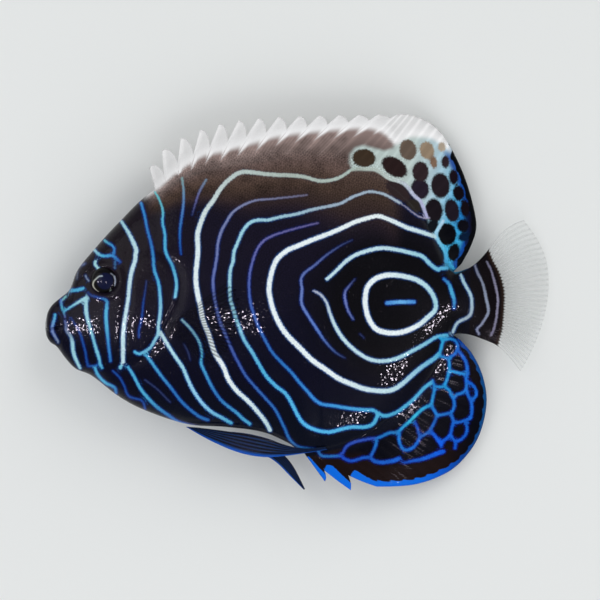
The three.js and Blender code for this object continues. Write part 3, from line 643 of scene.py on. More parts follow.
# %% Lines from snout to tail
# Half widths, colours and points of each line
LINES = [
    # lips, and the small marks of the snout
    ([1.7, 1.8, 1.4], [CYAN, "7088c4", MIST], "55,315 54.5,319 53,324 52,328 53,333 56,338 58,342"),
    ([1.3], ["7ac0c0"], "66,296.5 63.5,299"),
    ([1.4, 1.6, 1.0], ["5a80c8", "48a8c0", VIOLET], "61,300 61.5,305 63,310 64,313 65,317"),
    ([1.2, 1.6, 2.2, 2.1, 1.6], [VIOLET, MIST, PALE, PALE, PALE],
     "65,321 66,325 66,329 68,333 71,337 72.5,343 73,350 74.5,356 77,362 80,368"),
    ([1.2, 1.3, 1.6, 2.2], [CYAN, SKY, PALE, PALE], "64.5,311 70,307.5 76,303.5 82,300 86,298"),
    ([2.3, 2.3, 1.7, 1.6, 2.0, 1.4], [PALE, PALE, PALE, SKY, SKY, CYAN],
     "86.5,298 86,303 86,310 87,317 89,324 91,331 93,338 95,345 97,352 99,358 100,363 102,368"),
    ([0.9, 1.3, 1.3], [NAVY, DEEP, DEEP],
     "71,318 74,323 78,329 81,336 83,343 85,350 86,356 87,362 88,366"),
    ([1.2], [DEEP, BLUE], "88,366 93,366 98,365"),
    ([1.8, 1.3, 1.3], [NAVY, DEEP], "88,293 91,295.5 95,296.5 99,298"),
    ([1.3, 2.1, 2.1, 1.6, 1.6], [DEEP, CYAN, CYAN, AZURE, BLUE],
     "99,298 104,299 107,301.5 106.5,308 106,316 106.5,325 107.5,335 108.5,345 109.5,353 110.5,361"),
    ([1.9], [CYAN], "71,290.5 77,290 83,288.5"),
    # marks over and beside the eye
    ([1.6, 1.7, 1.6], [PALE, CYAN, AZURE, DEEP],
     "94.5,250 98,253.5 101,255.5 106,256 111,255.5 114,256.5 117,259 120,262"),
    ([1.5], ["58b0c0", AZURE, BLUE], "104.5,240.5 108,243 111.5,245 114,248 114.3,251 113.5,255"),
    ([1.2], ["2f5f8c"], "114.5,262 115,265 114.8,268"),
    ([1.2], ["5a6890"], "85,263.5 81,265.5"),
    ([0.9], ["5a6070"], "77.5,272 77,279"),
    ([1.7], ["a8dce4"], "95.5,261.5 95,264 97,267 99.5,270"),
    ([1.0], [MIST], "85.5,275.5 86.5,278 88.5,280.5"),
    # the white bar down the cheek, with the thorn at its foot
    ([1.6, 2.4, 2.5, 2.2, 2.1, 2.5, 2.3], [PALE, ICE, ICE, ICE, ICE],
     "121,221 129,233.5 136,249 135.5,254 135,260.5 132,270 130,280 129,290 128,300 126,312 124,325 "
     "123,338 123,350 123,362"),
    ([2.2], [SKY], "120.8,366.5 120.4,367.5"),
    # gill cover and nape
    ([1.5, 1.7, 1.9, 1.7], [AZURE, BLUE, CYAN, PALE, CYAN],
     "141,203 144.5,215 147.5,230.5 151,243 153,255 154,268.5 156.5,276.5 159,285 160,295 160.5,305 "
     "160,315 158.5,325 158,334 155,340 150.5,347.5 144,352 139,354 135,352"),
    ([0.8, 1.1], [DIM, DEEP, DEEP], "146.5,281 145,292 143,305 142,317 139,330 139,337"),
    ([1.3, 1.7, 1.8], ["6cc4c8", CYAN, CYAN, SKY],
     "155,192 160,201 163,212 162.5,222 165,235 165,248 167.5,256.5 172,265 175,274 176.5,283 "
     "176,292 175,297"),
    ([1.5, 1.5, 1.1], ["84a4a4", "5680b8", BLUE, DEEP],
     "182,178 183.5,190 183.5,203 182,215 180,230 180,243 181,254"),
    ([1.5, 1.3, 1.0], ["72869a", "64649a", DIM], "206,180 199.5,191.5 195,205 192,215"),
    # rings of the flank, from the outermost in
    ([1.8, 2.4, 2.6, 2.8, 2.8, 2.6, 2.3], ["b4c4bc", "b0bcb4", "c4d2d0", "e0f0f2", WHITE, WHITE, ICE],
     "355,168 350.5,170.5 338.5,178 325,181 315,180 300,176 270,174.5 250,172 240,172.5 231,178 "
     "221,188 213.5,200 205,212 200,225 197.5,235 198,250 197,262 196,272 196,283 198,296 200,305 "
     "203,320 208,332.5 212,345 215.5,354.5 223,366 228.5,379.5 237,391 248,401 257,411 265,421 "
     "270,430"),
    ([1.1, 1.6, 1.6, 1.5, 1.6], ["6c6880", "8088b0", "6070b0", "3e58a4", BLUE, BLUE],
     "307,195 290,197 270,199 255,200.5 242.5,205.5 233,212 227.5,220 221.5,231 218,243 217,255 "
     "215,268 213,280 214,295 217,310 220,322 225.5,334.5 231.5,349 238,362 246,376 257,389 "
     "267.5,400.5 276,411 285,429 288.5,437.5 295,445 302.5,448 317,450 322,456 338,456"),
    ([1.6, 1.9, 1.9, 2.0, 2.1, 2.1], ["a8b9c7", "9fb2c4", PALE, PALE, CYAN, "59bef2", CYAN],
     "400,203 387,195.5 379.5,193 370,191.5 360.5,194 350.5,198 340.5,203.5 325,207 310.5,210 "
     "297,214 280,217 268,220 258,220 249.5,223 242.5,231.5 238,242 234,252 233,262 230,272 230,297 "
     "233,308 236,318.5 239.5,328.5 244.5,340.5 252,352 260,366 267,377 277,387 285,393 291,402 "
     "297,414 303,423 311,428 320,431 330,432 340,429.5 352,427 365.5,427 374,423 378,413"),
    ([1.0, 1.4, 1.5, 1.8, 2.0, 2.0], ["665f94", "6a6aa8", "3f62b4", BLUE, "3a91dc", CYAN, CYAN],
     "318,223 305,226 290,230 274.5,235 264,240.5 257,249.5 252.5,262 250,272 249,285 250,300 "
     "253,312 259,328 266.5,342.5 272,352 281,362 291.5,372.5 299.5,382.5 308,392 314,399 321.5,404 "
     "335,406 350,408.5 365,410 372.5,410 378,413 385,416 396,412.5 405.5,406 415,398 424,388 "
     "432,382"),
    ([2.4, 2.6, 2.8, 2.9, 2.8, 2.5], [ICE, WHITE, WHITE, WHITE, WHITE, WHITE, ICE, CYAN],
     "436,237 420,231.5 408,228 395,222 385,218 378,216 368,218 355,222 342,228 328,234 312,240 "
     "300,245 288,250 278,258 273.5,266.5 271,275 269,288 270.5,300 274,312 280,325 288,336 300,348 "
     "312,360 325,369 338.5,378.5 352.5,384.5 365,389 380,391 392,390 402,384 410.5,376.5 421,367.5 "
     "433.5,359 439,354"),
    ([0.8, 1.3, 1.6, 1.6, 0.9], [DIM, VIOLET, "6a7fc0", "5a7cc4", DIM],
     "352,240 340,246 326,255.5 315,265 304.5,273 301,280 302,290 301.5,303.5 309,317 316.5,328.5 "
     "324.5,340.5 335,352 345,358"),
    ([1.9, 2.3, 2.3, 2.2], [ICE, ICE, ICE, PALE, CYAN],
     "327,279 335,272 345,262 355.5,255 368.5,250.5 382,248 398,250 411.5,253 422.5,256.5 430,264 "
     "437.5,269.5 439.5,268.5 447,268"),
    ([1.2, 2.1, 2.2, 2.2, 1.9], ["b0b4c8", ICE, ICE, PALE, CYAN],
     "314,291 318,293 322,296 327,303.5 330,313.5 335,325.5 341.5,336.5 350,346 360,354 372,360 "
     "385,361 398,358 412,351 425,344 436.5,337 447,335"),
    ([0.9, 1.5, 1.2], [DIM, "6f7ec2", VIOLET], "355,279 350,285 345,292 345.5,302 348.5,311.5 353,319"),
    ([0.8], [DIM], "360,334 364,338"),
    ([2.9, 3.0, 2.8, 2.6, 2.9, 3.0, 2.9], [WHITE, WHITE, ICE, PALE, WHITE, WHITE, WHITE],
     "365,303 365,300 367,288 375,279 388,275 402,276 417,280 428.5,288.5 435,300 435,310 427,318 "
     "418.5,325 404.5,331.5 390,333 376,329 368,317 365,303"),
    ([2.2], ["4a8fd8", "6cb4ea", "4a8fd8"], "387,303 400,302 414,302"),
    # bands of the tail stalk and the root of the tail fin
    ([1.6, 2.3, 1.7], [BLUE, CYAN, BLUE], "444,279 449,284 451.5,291.5 454,300 454,308"),
    ([1.7, 1.8, 1.9, 1.6], ["9fc4d4", "a8c8d8", "a4b4c0", "a8c8d8"],
     "461,275 463.5,281.5 467,288 471,296 472,305 471,313 467.5,317.5 460,321 456,325 453,332"),
    ([1.4, 1.7, 1.4], ["6e7288", "8c96ac", "8488a4"],
     "475,265 477,271.5 481.5,280.5 484,288 486.5,300 488.5,310 486.5,316.5 481,325 477,329 479,334"),
    ([1.3, 1.5], ["6c6a80", "8c88a0", "77738a"],
     "487,262 491,270 494,280 496.5,290 498,300 497,312 496,320 493.5,330 491,335"),
    # lines of the breast and belly
    ([1.7], [CYAN, CYAN, BLUE], "95,368 98,375 105,382.5 114.5,387.5 116,393"),
    ([1.2], [DEEP], "113,371 120,378 124.5,386.5 129,396.5 142,400.5 145,409"),
    ([1.6, 1.9, 1.7], [CYAN, CYAN, BLUE, "0b5cc8"],
     "128,367 133.5,375.5 140,388 147,397 157,407 169.5,416 179.5,422.5 200,428"),
    ([1.0], [DIM], "145,380 156.5,388.5 164.5,396.5 170,402"),
    ([1.7], [CYAN, BLUE, BLUE],
     "146,355 151,361.5 161,375.5 171.5,388.5 181,401 190.5,410 200,417 208,420"),
    ([2.0], [ICE, "a0d8e9", "92cef2", CYAN],
     "161,333 166,342 174.5,355.5 183,368 188,380 194.5,392.5 202.5,403.5 211.5,412 221.5,417.5 "
     "231,423"),
    ([1.3, 1.7, 1.8], [PALE, CYAN, BLUE, CYAN],
     "182,320 189,327 195.5,335.5 200,344 202,355 201,363 205,372.5 211.5,386 220,399 229,407 "
     "237,413 243,419 250,424"),
    ([0.9], [DIM], "184,344 188,352 190,360"),
    # painted reflection: a faint pale streak where the wet shoulder under the back fin catches the light
    ([0.8], ["8a8aa0", "b0a8c0"], "400,203 406,207 412,212 418,216 425,218.5 430,218"),
    # edge of the net on the back fin
    ([1.2, 2.2, 2.2, 2.2, 1.9], ["a4ab9f", "b4c0b8", "bcc8c4", "b8bcd6", "b0b0d8"],
     "345,175 350,171 357,169 366,169 375,169.5 381,172.5 388,178 396,180.5 404,183.5 410,190 "
     "414,195.5 419.5,200 423,206.5 425.5,213 427,217"),
    ([1.9, 2.2, 2.2, 2.0], ["b4d4ea", "9cd0ea", "62c0e6", "48aade"],
     "443,221 440,226 437,231 436,236 439,242 443,248 445.5,254 446,262"),
    # net of the belly fin, from the tail stalk forward
    ([1.8], ["28a0d8"], "439,337 442.5,340 441.5,347 440,352 438.5,356"),
    ([1.7], ["28a0d8", "1c72cc", "1c66c8", "2090d0"],
     "443,340 448,339 453,339.5 457,343 457.5,349 455,353.5 451,356.5 447,358 443,357 439.5,355.5"),
    ([1.7], ["2088d0", "2494d4"], "451,356.5 449,360 449.5,365 449,370 448,376 446,382 444,386.5"),
    ([1.9], ["1a5cc4", "1c6cd0"], "457.5,350 461,354 465,360 467,367 467.5,374"),
    ([1.7], ["2a9cdc", "2a84d8"], "449,371 455,372 461,373.5 468,374"),
    ([1.7], ["1c6cd0", "2078cc"], "467.5,374 466,379 466.5,384 466,389 462.5,393 457,394.5 453.5,398"),
    ([1.8], ["0f5ccc", "1c6cd0"], "466,381 470,383 473.5,386 476,390 476.5,394.5 474,398.5 470.5,400"),
    ([1.7], ["2494d4", "1c78cc"], "444,386.5 449,390 451,394.5 453.5,398.5"),
    ([1.7], ["2494d4", "2080cc"], "444,386.5 439,387 434,386"),
    ([1.7], ["1c78cc", "2490cc"], "432.5,380.5 434,386 434,392 432.5,399 431.5,405"),
    ([1.7], ["1c78cc"], "431.5,405 434,410 437,415"),
    ([1.7], ["2478c8", "1c68c8"], "437,415 443,414.5 450,413"),
    ([1.7], ["1c70cc"], "453.5,398.5 454.5,405 453,410 450.5,413.5"),
    ([1.8], ["1c68cc", "1560cc"], "466.5,390 468.5,396 471,401 472,408 471.5,415 470,419"),
    ([1.7], ["1c68c8", "1560cc"], "450.5,413.5 453,419 455.5,422.5 462,421.5 466,420 471,418"),
    ([1.6], ["1c60b8"], "437,415 435,421 432,427 430,430.5"),
    ([1.8, 2.3], ["145cd0", "0f5ce0"], "430,430.5 435,436 440,443 441,445"),
    ([1.9, 1.6], ["0f5ce0", "1560c4"], "441,442 447,438.5 450.5,434 452,427 453.5,421"),
    ([1.7], ["1560c4", "1558cc"], "465,421 467,427 466,434 461,439.5 455.5,441.5"),
    ([1.7], ["1560c8", "0f58d0"], "450.5,435 453.5,439.5 455.5,443 455,448"),
    ([1.5], ["1848b0", "1858bc"], "415,422 417.5,428 418.5,433 420,437"),
    ([1.6], ["1c60b8"], "430,430.5 426,434 420,437"),
    ([1.8], ["1c78cc", "1560c8"],
     "399.5,432.5 399,439 400.5,445 403.5,449.5 408,450 413,447.5 417,443 420,437"),
    ([1.7, 1.9, 1.7], ["1c80cc", "3ab8d8", "2490cc"],
     "398,433 401,429 410,421 417,414 424,408 431.5,405"),
    ([1.7], ["1c70c0", "2478b8"], "376.5,438.5 382.5,436 389,433 394,432.5 398,433"),
    ([1.7], ["1c78c4", "2058b8"], "376.5,438.5 376,444.5 373,452 370.5,457"),
    ([1.6], ["2448b0", "2c50b4", "2c50b4"],
     "335,456.5 340,455 343,452.5 346,447 351,443.5 358,441 366,439.5 371,438.5 376.5,438.5"),
    ([1.8], ["1c48c0", "1858b8"], "340,455 345,459 350.5,461 356,460 362,458 370.5,457"),
    ([2.0, 2.2, 2.4], ["1c58b8", "1560d0"],
     "370.5,457 374,461 381,462.5 389,461.5 395,460.5 399,458.5"),
    ([1.4, 2.2, 2.6], ["1548b0", "1560d0", "0f5ce0"],
     "404,463 412,461 420.5,459.5 427,457.5 433.5,455 439.5,452.5 443,451.5"),
]
print(len(LINES), "lines")

# %% Painting along a line

def parse(text):
    """Points of a line from its text."""
    return np.array([[float(n) for n in pair.split(",")] for pair in text.split()])


def along_ramp(values, along):
    """A list of numbers or colours, read at a share from 0 to 1 along it."""
    values = np.array(values, float)
    steps = np.linspace(0, 1, len(values)) if len(values) > 1 else np.array([0.0])
    if values.ndim == 1:
        return np.interp(along, steps, values)
    return np.stack([np.interp(along, steps, values[:, n]) for n in range(3)], -1)


CAMERA_HEIGHT = 500
MID_HEIGHT = 9
REACH = 14
LINE_WIDTH = 0.84


def as_seen(px, py, pz):
    """Plan places as the camera sees them: what stands higher shows farther out."""
    seen = CAMERA_HEIGHT / (CAMERA_HEIGHT - (pz - MID_HEIGHT))
    return 300 + (px - 300) * seen, 300 + (py - 300) * seen


def paint(lines, x, y):
    """The nearest line to each point: how far outside it, the offset, its half width and colour."""
    best = np.full(len(x), 60.0)
    offset = np.full((len(x), 2), 60.0)
    width = np.full(len(x), 1.0)
    tone = np.tile(srgb(DEEP), (len(x), 1))
    for widths, tones, text in lines:
        points = parse(text)
        line = curve(points, max(8, 3 * len(points)))
        (x0, y0), (x1, y1) = line.min(0) - REACH, line.max(0) + REACH
        here = np.flatnonzero((x > x0) & (x < x1) & (y > y0) & (y < y1))
        d, along = nearest(line, x[here], y[here])
        w = along_ramp(widths, along) * LINE_WIDTH
        away = np.hypot(*d.T)
        closer = away - w < best[here]
        take = here[closer]
        best[take] = (away - w)[closer]
        offset[take] = d[closer]
        width[take] = w[closer]
        tone[take] = along_ramp(colours(tones), along[closer])
    return best, offset, width, tone


# %% Lines of the skin
flat = np.empty(len(skin.data.vertices) * 3)
skin.data.vertices.foreach_get("co", flat)
px, py, pz = to_plan(flat.reshape(-1, 3))
number = np.empty(len(px), dtype=np.int32)
skin.data.attributes["key"].data.foreach_get("value", number)
fin = fins[number]
mx, my = as_seen(px, py, pz)
best, offset, width, tone = paint(LINES, mx, my)
print(len(LINES), "lines,", int((best < 0).sum()), "vertices on them")

# %% [markdown]
# ## Ground colours
# Under its lines the real fish has blue-black flanks, brown towards the back and its spines, a
# white edge on the back fin, a net of white to blue round dark cells behind it, and a clear tail
# fin. One texture could hold all this. Here each vertex gets its ground colour from where it lies,
# and what needs a sharp edge is kept as a distance to that edge.

# %% Flanks and brown back
BROWN_EDGE = lookup([
    (140, 205), (160, 190), (180, 173), (205, 158), (220, 155), (250, 147), (280, 139), (320, 134),
    (360, 131), (375, 132.5), (385, 137), (391, 143), (397, 147), (410, 140), (430, 141), (442, 148),
    (452, 157),
])


def mixed(base, colour, share):
    """The base colours with a share of another colour."""
    return base + (srgb(colour) - base) * share[:, None]


ground = np.tile(srgb("04041a"), (len(mx), 1))
ground = mixed(ground, "130f20", fade(my, 345, 235))
ground = mixed(ground, "170f18", fade(mx, 215, 120) * fade(my, 345, 260))
ground = mixed(ground, "030718", fade(my, 375, 425))
ground = mixed(ground, "050409", fade(np.hypot(mx - 395, my - 305), 110, 50))
along_spine = np.cos(math.pi * fin[:, 0]) ** 8 * (fin[:, 2] > 0) * (fin[:, 0] < 13)
back = my - BROWN_EDGE(mx) - 5 * along_spine
deep_brown = np.interp(mx, [150, 190, 250, 300, 345], [22, 44, 74, 84, 108])
on_back = fade(mx, 142, 160) * fade(mx, 408, 384) * fade(back / deep_brown, 1.1, 0.72)
brown = along_ramp(colours(["94807b", "70605c", "5f4d48", "4e3d36", "40312a", "342725", "281e25", "1d1720"]),
                   np.clip(back / deep_brown, 0, 1))
ground = ground + (brown - ground) * on_back[:, None]
print("brown reaches", int(deep_brown.max()), "plan squares down from the back")

# %% Net of the back fin
NET_ZONE = [
    (352, 170), (349.5, 163), (350, 154), (355, 147.5), (363, 145), (372, 147.5), (384, 150.5),
    (393, 148), (396, 140), (398, 125), (402, 110), (425, 110), (445, 130), (460, 148), (472, 172),
    (484, 203), (486, 225), (478, 250), (468, 268), (456, 273), (449, 268), (446, 262), (444, 250),
    (438, 240), (435, 234), (430, 226), (427, 216), (422, 206), (415, 197), (409, 190), (402, 184),
    (392, 181), (383, 175), (375, 170.5), (360, 170),
]


def inside_distance(outline, x, y):
    """Distance in plan squares to an outline, positive inside it."""
    loop = np.array(outline + outline[:1], float)
    inside = np.zeros(len(x), bool)
    for (ax, ay), (bx, by) in zip(loop[:-1], loop[1:]):
        crosses = (ay > y) != (by > y)
        inside ^= crosses & (x < ax + (y - ay) / (by - ay + 1e-12) * (bx - ax))
    away = distance_to(loop, x, y)
    return np.where(inside, away, -away)


white_web = fade(back, 1, -6) * fade(mx, 142, 150) * fade(mx, 456, 446) * (my < 230)
zone = inside_distance(NET_ZONE, mx, my)
net = along_ramp(colours(["bccac6", "b0c8d2", "96c4da", "5ab0da", "1f7cc4", "0c468c"]),
                 np.interp(mx + 0.2 * (my - 190), [405, 430, 445, 456, 465, 475], np.linspace(0, 1, 6)))
net = mixed(net, "45b4e0", 0.75 * fade(my, 212, 242) * fade(mx, 470, 458))
ground = ground + (net - ground) * fade(zone, -2, 2.5)[:, None]
ground = mixed(ground, "f6f4f4", white_web)
print(int((zone > 0).sum()), "vertices in the net")

# %% Dark cells in the net
# Centre, half width, half height, tilt in degrees and colour of each cell
DORSAL_CELLS = [
    (364, 158, 11.5, 9, 5, "3c2f24"), (394.5, 167, 14, 8.7, 33, "281b1b"),
    (408, 149.8, 8.3, 10.3, -10, "63554a"), (427, 150.5, 7, 8.8, -15, "927f6a"),
    (433.5, 162, 3.4, 6.2, -10, "7c6250"), (441.8, 147, 3.8, 4.6, 0, "b0a08e"),
    (445.4, 162, 3.9, 6.2, 0, "2c2026"), (420.5, 172, 7.6, 9.8, 0, "2e2226"),
    (420, 189, 8.4, 9.8, -12, "241c28"), (440.5, 185.5, 8.8, 11.9, -5, "221a20"),
    (453.6, 177, 4.1, 6.8, -5, "170d15"), (458.6, 193.2, 5.2, 7, -8, "100a10"),
    (434, 210.5, 8.1, 11.3, -5, "181319"), (452, 210.5, 6.7, 11, -10, "1d1720"),
    (465.2, 208.5, 4.2, 7.6, 0, "120b12"), (463, 225.8, 5.4, 5.8, 0, "0b0a12"),
    (464.5, 236.8, 5.7, 3.6, -20, "061a34"), (447, 234.2, 8.7, 10.5, 0, "06070d"),
    (453.8, 252.3, 5.2, 8.2, 12, "080a0f"), (398, 190.8, 13.5, 6.8, 38, "2e2224"),
    (414, 206, 6.8, 6, 30, "28231f"), (432.5, 226, 4.5, 8, 25, "0a1018"),
]
cell = np.full(len(mx), 9.0)
cell_tone = np.tile(srgb("06070d"), (len(mx), 1))
for cx, cy, rx, ry, tilt, hue in DORSAL_CELLS:
    a = math.radians(tilt)
    u = (mx - cx) * math.cos(a) + (my - cy) * math.sin(a)
    v = -(mx - cx) * math.sin(a) + (my - cy) * math.cos(a)
    outside = (np.hypot(u / rx, v / ry) - 1) * min(rx, ry) * PX - 0.1 * (cy > 168)
    cell_tone[outside < cell] = srgb(hue)
    cell = np.minimum(cell, outside)
print(len(DORSAL_CELLS), "cells")

# %% Dark rim of the back fin
margin = distance_to(np.array(dorsal_edge[SOFT - FIRST_SPINE :]), px, py)
rear_rim = (px > 444) & (py < 272) & (py > 140) & (fin[:, 2] > 0)
ground = mixed(ground, "0a3c98", 0.9 * rear_rim * fade(margin, 12, 7) * fade(py, 146, 158))
band = np.where(rear_rim, margin - 5.2 * fade(py, 146, 156), 40)
band_tone = np.tile(srgb("06070c"), (len(mx), 1))
print(int(rear_rim.sum()), "vertices near the rim")

# %% Blue margin and brown rays of the anal fin
below = (py > 300) & (px < 492) & (fin[:, 2] > 0)
on_stalk = (px > 453) & (py < 338)
anal = below & ((px > 448) | (py > belly_edge(px))) & ~on_stalk
SPINE_EDGES = [[(306, 461), (314, 470), (325, 482)], [(330, 471), (339, 480), (351, 491)]]
soft_edge = curve([(356, 477), (366, 483), *ANAL_MARGIN], 60)
low_edge = np.min([distance_to(np.array(line, float), px, py) for line in [*SPINE_EDGES, soft_edge]], axis=0)
ground = np.where(anal[:, None], mixed(ground, "04050f", fade(fin[:, 2], 0, 1)), ground)
brown_rays = anal * fade(low_edge, 30, 16) * fade(py, 392, 450)
ground = mixed(ground, "1c100e", 0.9 * brown_rays * fade(px, 476, 440))
band = np.where(anal, low_edge - 3.4 - 2.6 * fade(px, 478, 440) * fade(py, 425, 470), band)
edge_blue = along_ramp(colours(["0c6ae0", "0c58cc", "0a3f92", "0f4a80"]), np.clip((px - 420) / 68, 0, 1))
band_tone = np.where(anal[:, None], edge_blue, band_tone)
print(int(anal.sum()), "vertices on the anal fin")

# %% Clear webs and the tail fin
TAIL_DARK = lookup([
    (225, 482), (256, 491), (272, 499), (290, 504), (310, 504), (330, 502), (341, 499), (372, 492),
])
ribs = np.where(mx < SPINE_BASE_X(13), on_back * fade(back, 70, 45) * fade(back, -3, 3), 0)
halo = 0.75 * fade(zone, 0, -6) * fade(mx, 484, 466) * (1 - 0.85 * on_back)
rear = mx - TAIL_DARK(my)
tail = (px > 466) & (fin[:, 2] > 0) & (abs(py - 300) < 90)
ground = np.where(tail[:, None], mixed(ground, "0d080c", fade(px, 450, 475)), ground)
ground = np.where(tail[:, None], mixed(ground, "2a1c14", fade(rear, -5, 0)), ground)
rear = np.where(tail, rear, -40)
clear = white_web * fade(back, -5, -20) * 0.5
fin[:, 2] = np.maximum(fin[:, 2], white_web)
guard = np.where(fin[:, 2] > 0.2, 0.2, 0.22 + 0.16 * fade(px, 110, 180))
print(int(tail.sum()), "vertices on the tail fin")

# %% What each vertex keeps

def store(mesh, name, kind, values):
    """Keeps a value for each vertex under a name that the shader reads."""
    attribute = mesh.attributes.new(name, kind, "POINT")
    field = {"FLOAT": "value", "FLOAT_VECTOR": "vector", "FLOAT_COLOR": "color"}[kind]
    if kind == "FLOAT_COLOR":
        values = np.column_stack([values, np.ones(len(values))])
    attribute.data.foreach_set(field, np.ascontiguousarray(values, dtype=np.float32).ravel())


def store_lines(mesh, offset, width, tone, guard):
    """Keeps the nearest line in millimetres. The guard bounds its distance between two lines."""
    store(mesh, "line", "FLOAT_VECTOR", np.column_stack([offset * PX, np.hypot(*offset.T) * PX - guard]))
    store(mesh, "half", "FLOAT", width * PX)
    store(mesh, "tone", "FLOAT_COLOR", tone)


store_lines(skin.data, offset, width, tone, guard)
store(skin.data, "ground", "FLOAT_COLOR", ground)
store(skin.data, "fin", "FLOAT_VECTOR", fin)
store(skin.data, "cell", "FLOAT", cell)
store(skin.data, "cell_tone", "FLOAT_COLOR", cell_tone)
store(skin.data, "clear", "FLOAT", clear)
store(skin.data, "ribs", "FLOAT", ribs)
store(skin.data, "halo", "FLOAT", halo)
store(skin.data, "rear", "FLOAT", rear * PX)
store(skin.data, "band", "FLOAT", band * PX)
store(skin.data, "band_tone", "FLOAT_COLOR", band_tone)
skin.data.attributes.remove(skin.data.attributes["key"])
print(len(skin.data.attributes), "attributes on the skin")

# %% [markdown]
# ## Finishes
# Real wet skin is two layers: a film of water over pigment with the relief of small scales, which
# breaks a light into points. One glossy layer would turn the whole flank grey, so the film is a
# coat with a faint reflection, and each small plate of it has a tilt of its own. Colours, widths
# and distances come from the vertices, and the shader only draws their edges.

# %% Shader nodes

def node(tree, kind, inputs=(), output=0, **settings):
    """Adds a shader node with its settings, and links or sets its inputs. Gives one output."""
    made = tree.nodes.new("ShaderNode" + kind)
    for name, value in settings.items():
        setattr(made, name, value)
    for name, value in inputs.items() if isinstance(inputs, dict) else enumerate(inputs):
        if isinstance(value, bpy.types.NodeSocket):
            tree.links.new(value, made.inputs[name])
        else:
            made.inputs[name].default_value = value
    return made.outputs[output]


def new_material(name, **constants):
    """A material with its surface's constants, and a shorthand that adds nodes to it."""
    made = bpy.data.materials.new(name)
    made.use_nodes = True
    surface = made.node_tree.nodes["Principled BSDF"]
    for socket, value in constants.items():
        surface.inputs[socket.replace("_", " ")].default_value = value
    return made, partial(node, made.node_tree), surface


def rgb(hex_colour):
    """A hex colour as a shader socket takes it."""
    return (*srgb(hex_colour), 1)


# %% Small scales
# A juvenile of this size has scales about half a millimetre apart, in rows that bend a little,
# seven times in a centimetre
SCALE_ROWS = 0.5
ROW_BENDS = 0.7


def scale_relief(add, place, size):
    """A staggered pattern of small scales, from -1.5 to 3, size in millimetres from row to row."""
    drift = add("TexNoise", {"Vector": place, "Scale": 1000 * ROW_BENDS, "Detail": 1.0}, "Color")
    bent = add("VectorMath", {0: drift, "Scale": 0.0013}, operation="SCALE")
    at = add("VectorMath", [place, bent], operation="ADD")
    wave = 2 * math.pi / (size / 1000)
    total = 0.0
    for degrees in (8, 68, 128):
        turn = math.radians(degrees)
        along = (wave * math.cos(turn), wave * math.sin(turn), wave * 0.35)
        phase = add("VectorMath", [at, along], "Value", operation="DOT_PRODUCT")
        total = add("Math", [add("Math", [phase], operation="COSINE"), total], operation="ADD")
    return total


# %% On a line or beside it
# Millimetres outside a line where it and its glow begin, and where they are full
LINE_EDGE = (0.14, -0.2)
GLOW_EDGE = (0.42, -0.05)


def line_shares(add, ragged):
    """How far a point is on a line and in its blue glow, from the attributes of the lines."""
    line = add("Attribute", output="Vector", attribute_name="line")
    flat = add("VectorMath", [line, (1, 1, 0)], operation="MULTIPLY")
    exact = add("VectorMath", [flat], "Value", operation="LENGTH")
    guard = add("SeparateXYZ", [line], "Z")
    distance = add("Math", [exact, guard], operation="MAXIMUM")
    half = add("Attribute", output="Fac", attribute_name="half")
    past = add("Math", [add("Math", [distance, ragged], operation="ADD"), half], operation="SUBTRACT")
    on_line = add("MapRange", [past, *LINE_EDGE], interpolation_type="SMOOTHSTEP")
    glow = add("MapRange", [past, *GLOW_EDGE], interpolation_type="SMOOTHSTEP")
    return on_line, glow


# %% Wet scaled skin
# Wet skin: a thin film of water, with faint reflections, over matt pigment
# How many lie in a millimetre: grains of the pigment, pale patches in the brown, and the small
# plates of the film, each with a tilt of its own up to a slope of PLATE_TILT
GRAINS, PATCHES, PLATES = 1.9, 0.33, 3.4
PLATE_TILT = 0.042
skin_finish, add, surface = new_material(
    "Wet scaled skin",
    Roughness=0.35, IOR=1.4, Specular_IOR_Level=0.03, Coat_Weight=1.0, Coat_Roughness=0.05, Coat_IOR=1.17,
)
place = add("TexCoord", output="Object")
ray, out, on_fin = add("SeparateXYZ", [add("Attribute", output="Vector", attribute_name="fin")]).node.outputs
scales = scale_relief(add, place, SCALE_ROWS)
grain = add("TexNoise", {"Vector": place, "Scale": 1000 * GRAINS, "Detail": 2.0}, "Fac")
plate = add("TexVoronoi", {"Vector": place, "Scale": 1000 * PLATES}, "Distance").node
on_body = add("Math", [on_fin, -0.96, 1.0], operation="MULTIPLY_ADD")

# %% Lines, ground and glow
# Each line's edge wanders by up to 0.2 mm with the scales, and its colour is mottled
uneven = add("Math", [grain, 0.16, -0.08], operation="MULTIPLY_ADD")
ragged = add("Math", [scales, 0.045, uneven], operation="MULTIPLY_ADD")
on_line, glow = line_shares(add, ragged)
tone = add("Attribute", output="Color", attribute_name="tone")
uneven_tone = add("Math", [grain, 0.3, 0.84], operation="MULTIPLY_ADD")
mottle = add("Math", [scales, 0.05, uneven_tone], operation="MULTIPLY_ADD")
bright = add("VectorMath", {0: tone, "Scale": mottle}, operation="SCALE")
deep = add("VectorMath", [tone, (0.02, 0.10, 0.36)], operation="MULTIPLY")

